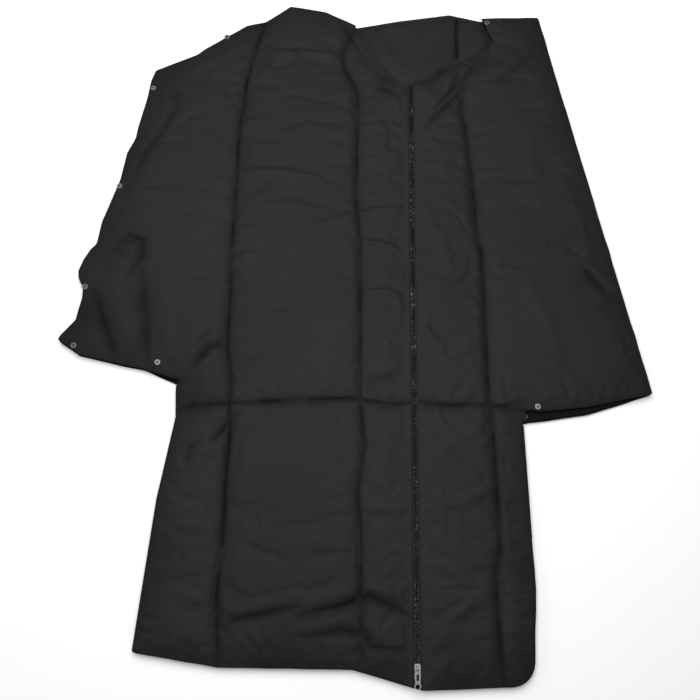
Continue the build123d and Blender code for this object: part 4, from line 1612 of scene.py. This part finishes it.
class BLANKET_OT_zip(bpy.types.Operator):
    """Makes the two rows of zip teeth"""
    bl_idname = "blanket.zip"
    bl_label = "Zip teeth"

    def execute(self, context):
        pitch = context.scene.blanket_zip.pitch
        lean = math.atan2(ZIP_WAY[1], ZIP_WAY[0]) - math.pi / 2
        for name, node, body, side, stagger in (("zip_chain_left", "zip_teeth_left", "front_left", -1, 0.0),
                                                ("zip_chain_right", "zip_teeth_right", "front_right", 1, 0.5)):
            low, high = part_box(node)
            choose()
            bpy.ops.mesh.primitive_cube_add(size=1, location=(side * 0.0031, 0, 0.0184),
                                            scale=(0.0044, 0.0015, 0.0032))
            tooth = context.object
            tooth.name = name
            bpy.ops.object.transform_apply(location=True, rotation=True, scale=True)
            bpy.ops.object.mode_set(mode="EDIT")
            bpy.ops.mesh.select_all(action="DESELECT")
            bpy.ops.object.mode_set(mode="OBJECT")
            for face in tooth.data.polygons:
                face.select = face.normal.x * side < -0.9
            bpy.ops.object.mode_set(mode="EDIT")
            bpy.ops.mesh.select_mode(type="FACE")
            bpy.ops.mesh.inset(thickness=0.0002, depth=0.0)
            bpy.ops.mesh.extrude_region_move(TRANSFORM_OT_translate={"value": (-side * 0.0005, 0, 0)})
            bpy.ops.transform.resize(value=(1, 1.25, 0.7))
            bpy.ops.mesh.select_all(action="SELECT")
            bpy.ops.mesh.normals_make_consistent(inside=False)
            bpy.ops.object.mode_set(mode="OBJECT")
            length = (high.y - low.y) / ZIP_WAY[1]
            count = int(length / pitch)
            start = (low.y / MM - ZIP_FOOT[1]) / ZIP_WAY[1] * MM + pitch * (0.5 + stagger)
            tooth.data.transform(Matrix.Translation((0, start, 0)))
            apply_modifier(tooth, "ARRAY", count=count, use_relative_offset=False, use_constant_offset=True,
                           constant_offset_displace=(0, pitch, 0))
            turn = Matrix.Translation((ZIP_FOOT[0] * MM, ZIP_FOOT[1] * MM, 0)) @ Matrix.Rotation(lean, 4, "Z")
            tooth.data.transform(turn)
            dress(tooth, "zip_teeth")
            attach(tooth, body)
            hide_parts(node)
        return {"FINISHED"}


def solid(shape, centre, size, name=None):
    """A block or a disc, its middle and its size in millimetres."""
    choose()
    place = [c * MM for c in centre]
    if shape == "block":
        bpy.ops.mesh.primitive_cube_add(size=1, location=place, scale=[c * MM for c in size])
    else:
        bpy.ops.mesh.primitive_cylinder_add(vertices=48, radius=size[0] / 2 * MM, depth=size[1] * MM,
                                            location=place)
    piece = bpy.context.object
    bpy.ops.object.transform_apply(location=True, rotation=True, scale=True)
    if name:
        piece.name = name
    return piece


class BLANKET_OT_pull(bpy.types.Operator):
    """Makes the zip's pull: a fork round the crown, an open window, a ribbed neck and a round holed end"""
    bl_idname = "blanket.pull"
    bl_label = "Zip pull"

    def execute(self, context):
        low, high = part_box("zip_pull_tab")
        pin_low, pin_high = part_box("zip_pull_pin")
        level = 0.5 * (low.z + high.z) / MM
        thick = (high.z - low.z) / MM
        top = 0.5 * (pin_low.y + pin_high.y) / MM - ZIP_FOOT[1] + 1.6
        end = low.y / MM - ZIP_FOOT[1] + 8
        pull = solid("block", (0, 0.5 * (top + end + 14), level), (13.2, top - end - 14, thick), "zip_pull")
        for operation, shape, centre, size in (
                ("UNION", "block", (0, end + 8, level), (11.8, 16, thick)),
                ("UNION", "disc", (0, end, level), (15.0, thick)),
                ("UNION", "block", (0, end + 8.6, level + 0.45), (9.8, 1.6, thick)),
                ("DIFFERENCE", "block", (0, end + 26, level), (5.6, 30, 4 * thick)),
                ("DIFFERENCE", "disc", (0, end - 1.2, level), (9.0, 4 * thick))):
            tool = solid(shape, centre, size)
            apply_modifier(pull, "BOOLEAN", object=tool, operation=operation, solver="EXACT")
            bpy.data.objects.remove(tool)
        apply_modifier(pull, "BEVEL", width=0.35 * MM, segments=2, limit_method="ANGLE",
                       angle_limit=math.radians(40))
        lean = math.atan2(ZIP_WAY[1], ZIP_WAY[0]) - math.pi / 2
        foot = Matrix.Translation((ZIP_FOOT[0] * MM, ZIP_FOOT[1] * MM, 0))
        pull.data.transform(foot @ Matrix.Rotation(lean, 4, "Z"))
        dress(pull, "nickel")
        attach(pull, "zip_pull")
        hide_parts("zip_pull_tab")
        return {"FINISHED"}


class BLANKET_OT_carried(bpy.types.Operator):
    """Gives every part that keeps its CAD shape its real finish"""
    bl_idname = "blanket.carried"
    bl_label = "Metal, plastic and inner layers"

    def execute(self, context):
        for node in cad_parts.values():
            for slot in node.material_slots:
                kind = slot.material.name.split(".")[0]
                if kind not in MAKERS:
                    raise RuntimeError(f"{node.name}: no finish is known for {kind}")
                slot.material = finish("black_nickel" if node.name == "back_snap_studs" else kind)
        return {"FINISHED"}


OPERATORS = [BLANKET_OT_stage, BLANKET_OT_back, BLANKET_OT_left_front, BLANKET_OT_right_front,
             BLANKET_OT_bindings, BLANKET_OT_stitching, BLANKET_OT_zip, BLANKET_OT_pull, BLANKET_OT_carried]


class BLANKET_PT_panel(bpy.types.Panel):
    """Lists the blanket's settings and the operators that make it"""
    bl_idname = "BLANKET_PT_panel"
    bl_label = "Sauna blanket"
    bl_space_type = "VIEW_3D"
    bl_region_type = "UI"
    bl_category = "Sauna blanket"

    def draw(self, context):
        for group in (context.scene.blanket_cloth, context.scene.blanket_zip, context.scene.blanket_colours):
            for key in group.bl_rna.properties.keys():
                if key not in ("rna_type", "name"):
                    self.layout.prop(group, key)
        for operator in OPERATORS:
            self.layout.operator(operator.bl_idname)


CLASSES = [BlanketCloth, BlanketZip, BlanketColours, *OPERATORS, BLANKET_PT_panel]


def register():
    for item in CLASSES:
        bpy.utils.register_class(item)
    bpy.types.Scene.blanket_cloth = bpy.props.PointerProperty(type=BlanketCloth)
    bpy.types.Scene.blanket_zip = bpy.props.PointerProperty(type=BlanketZip)
    bpy.types.Scene.blanket_colours = bpy.props.PointerProperty(type=BlanketColours)


def unregister():
    del bpy.types.Scene.blanket_cloth, bpy.types.Scene.blanket_zip, bpy.types.Scene.blanket_colours
    for item in reversed(CLASSES):
        bpy.utils.unregister_class(item)


def main():
    register()
    choose()
    bpy.ops.blanket.stage()
    bpy.ops.blanket.back()
    bpy.ops.blanket.left_front()
    bpy.ops.blanket.right_front()
    bpy.ops.blanket.bindings()
    bpy.ops.blanket.stitching()
    bpy.ops.blanket.zip()
    bpy.ops.blanket.pull()
    bpy.ops.blanket.carried()


if __name__ == "__main__":
    main()
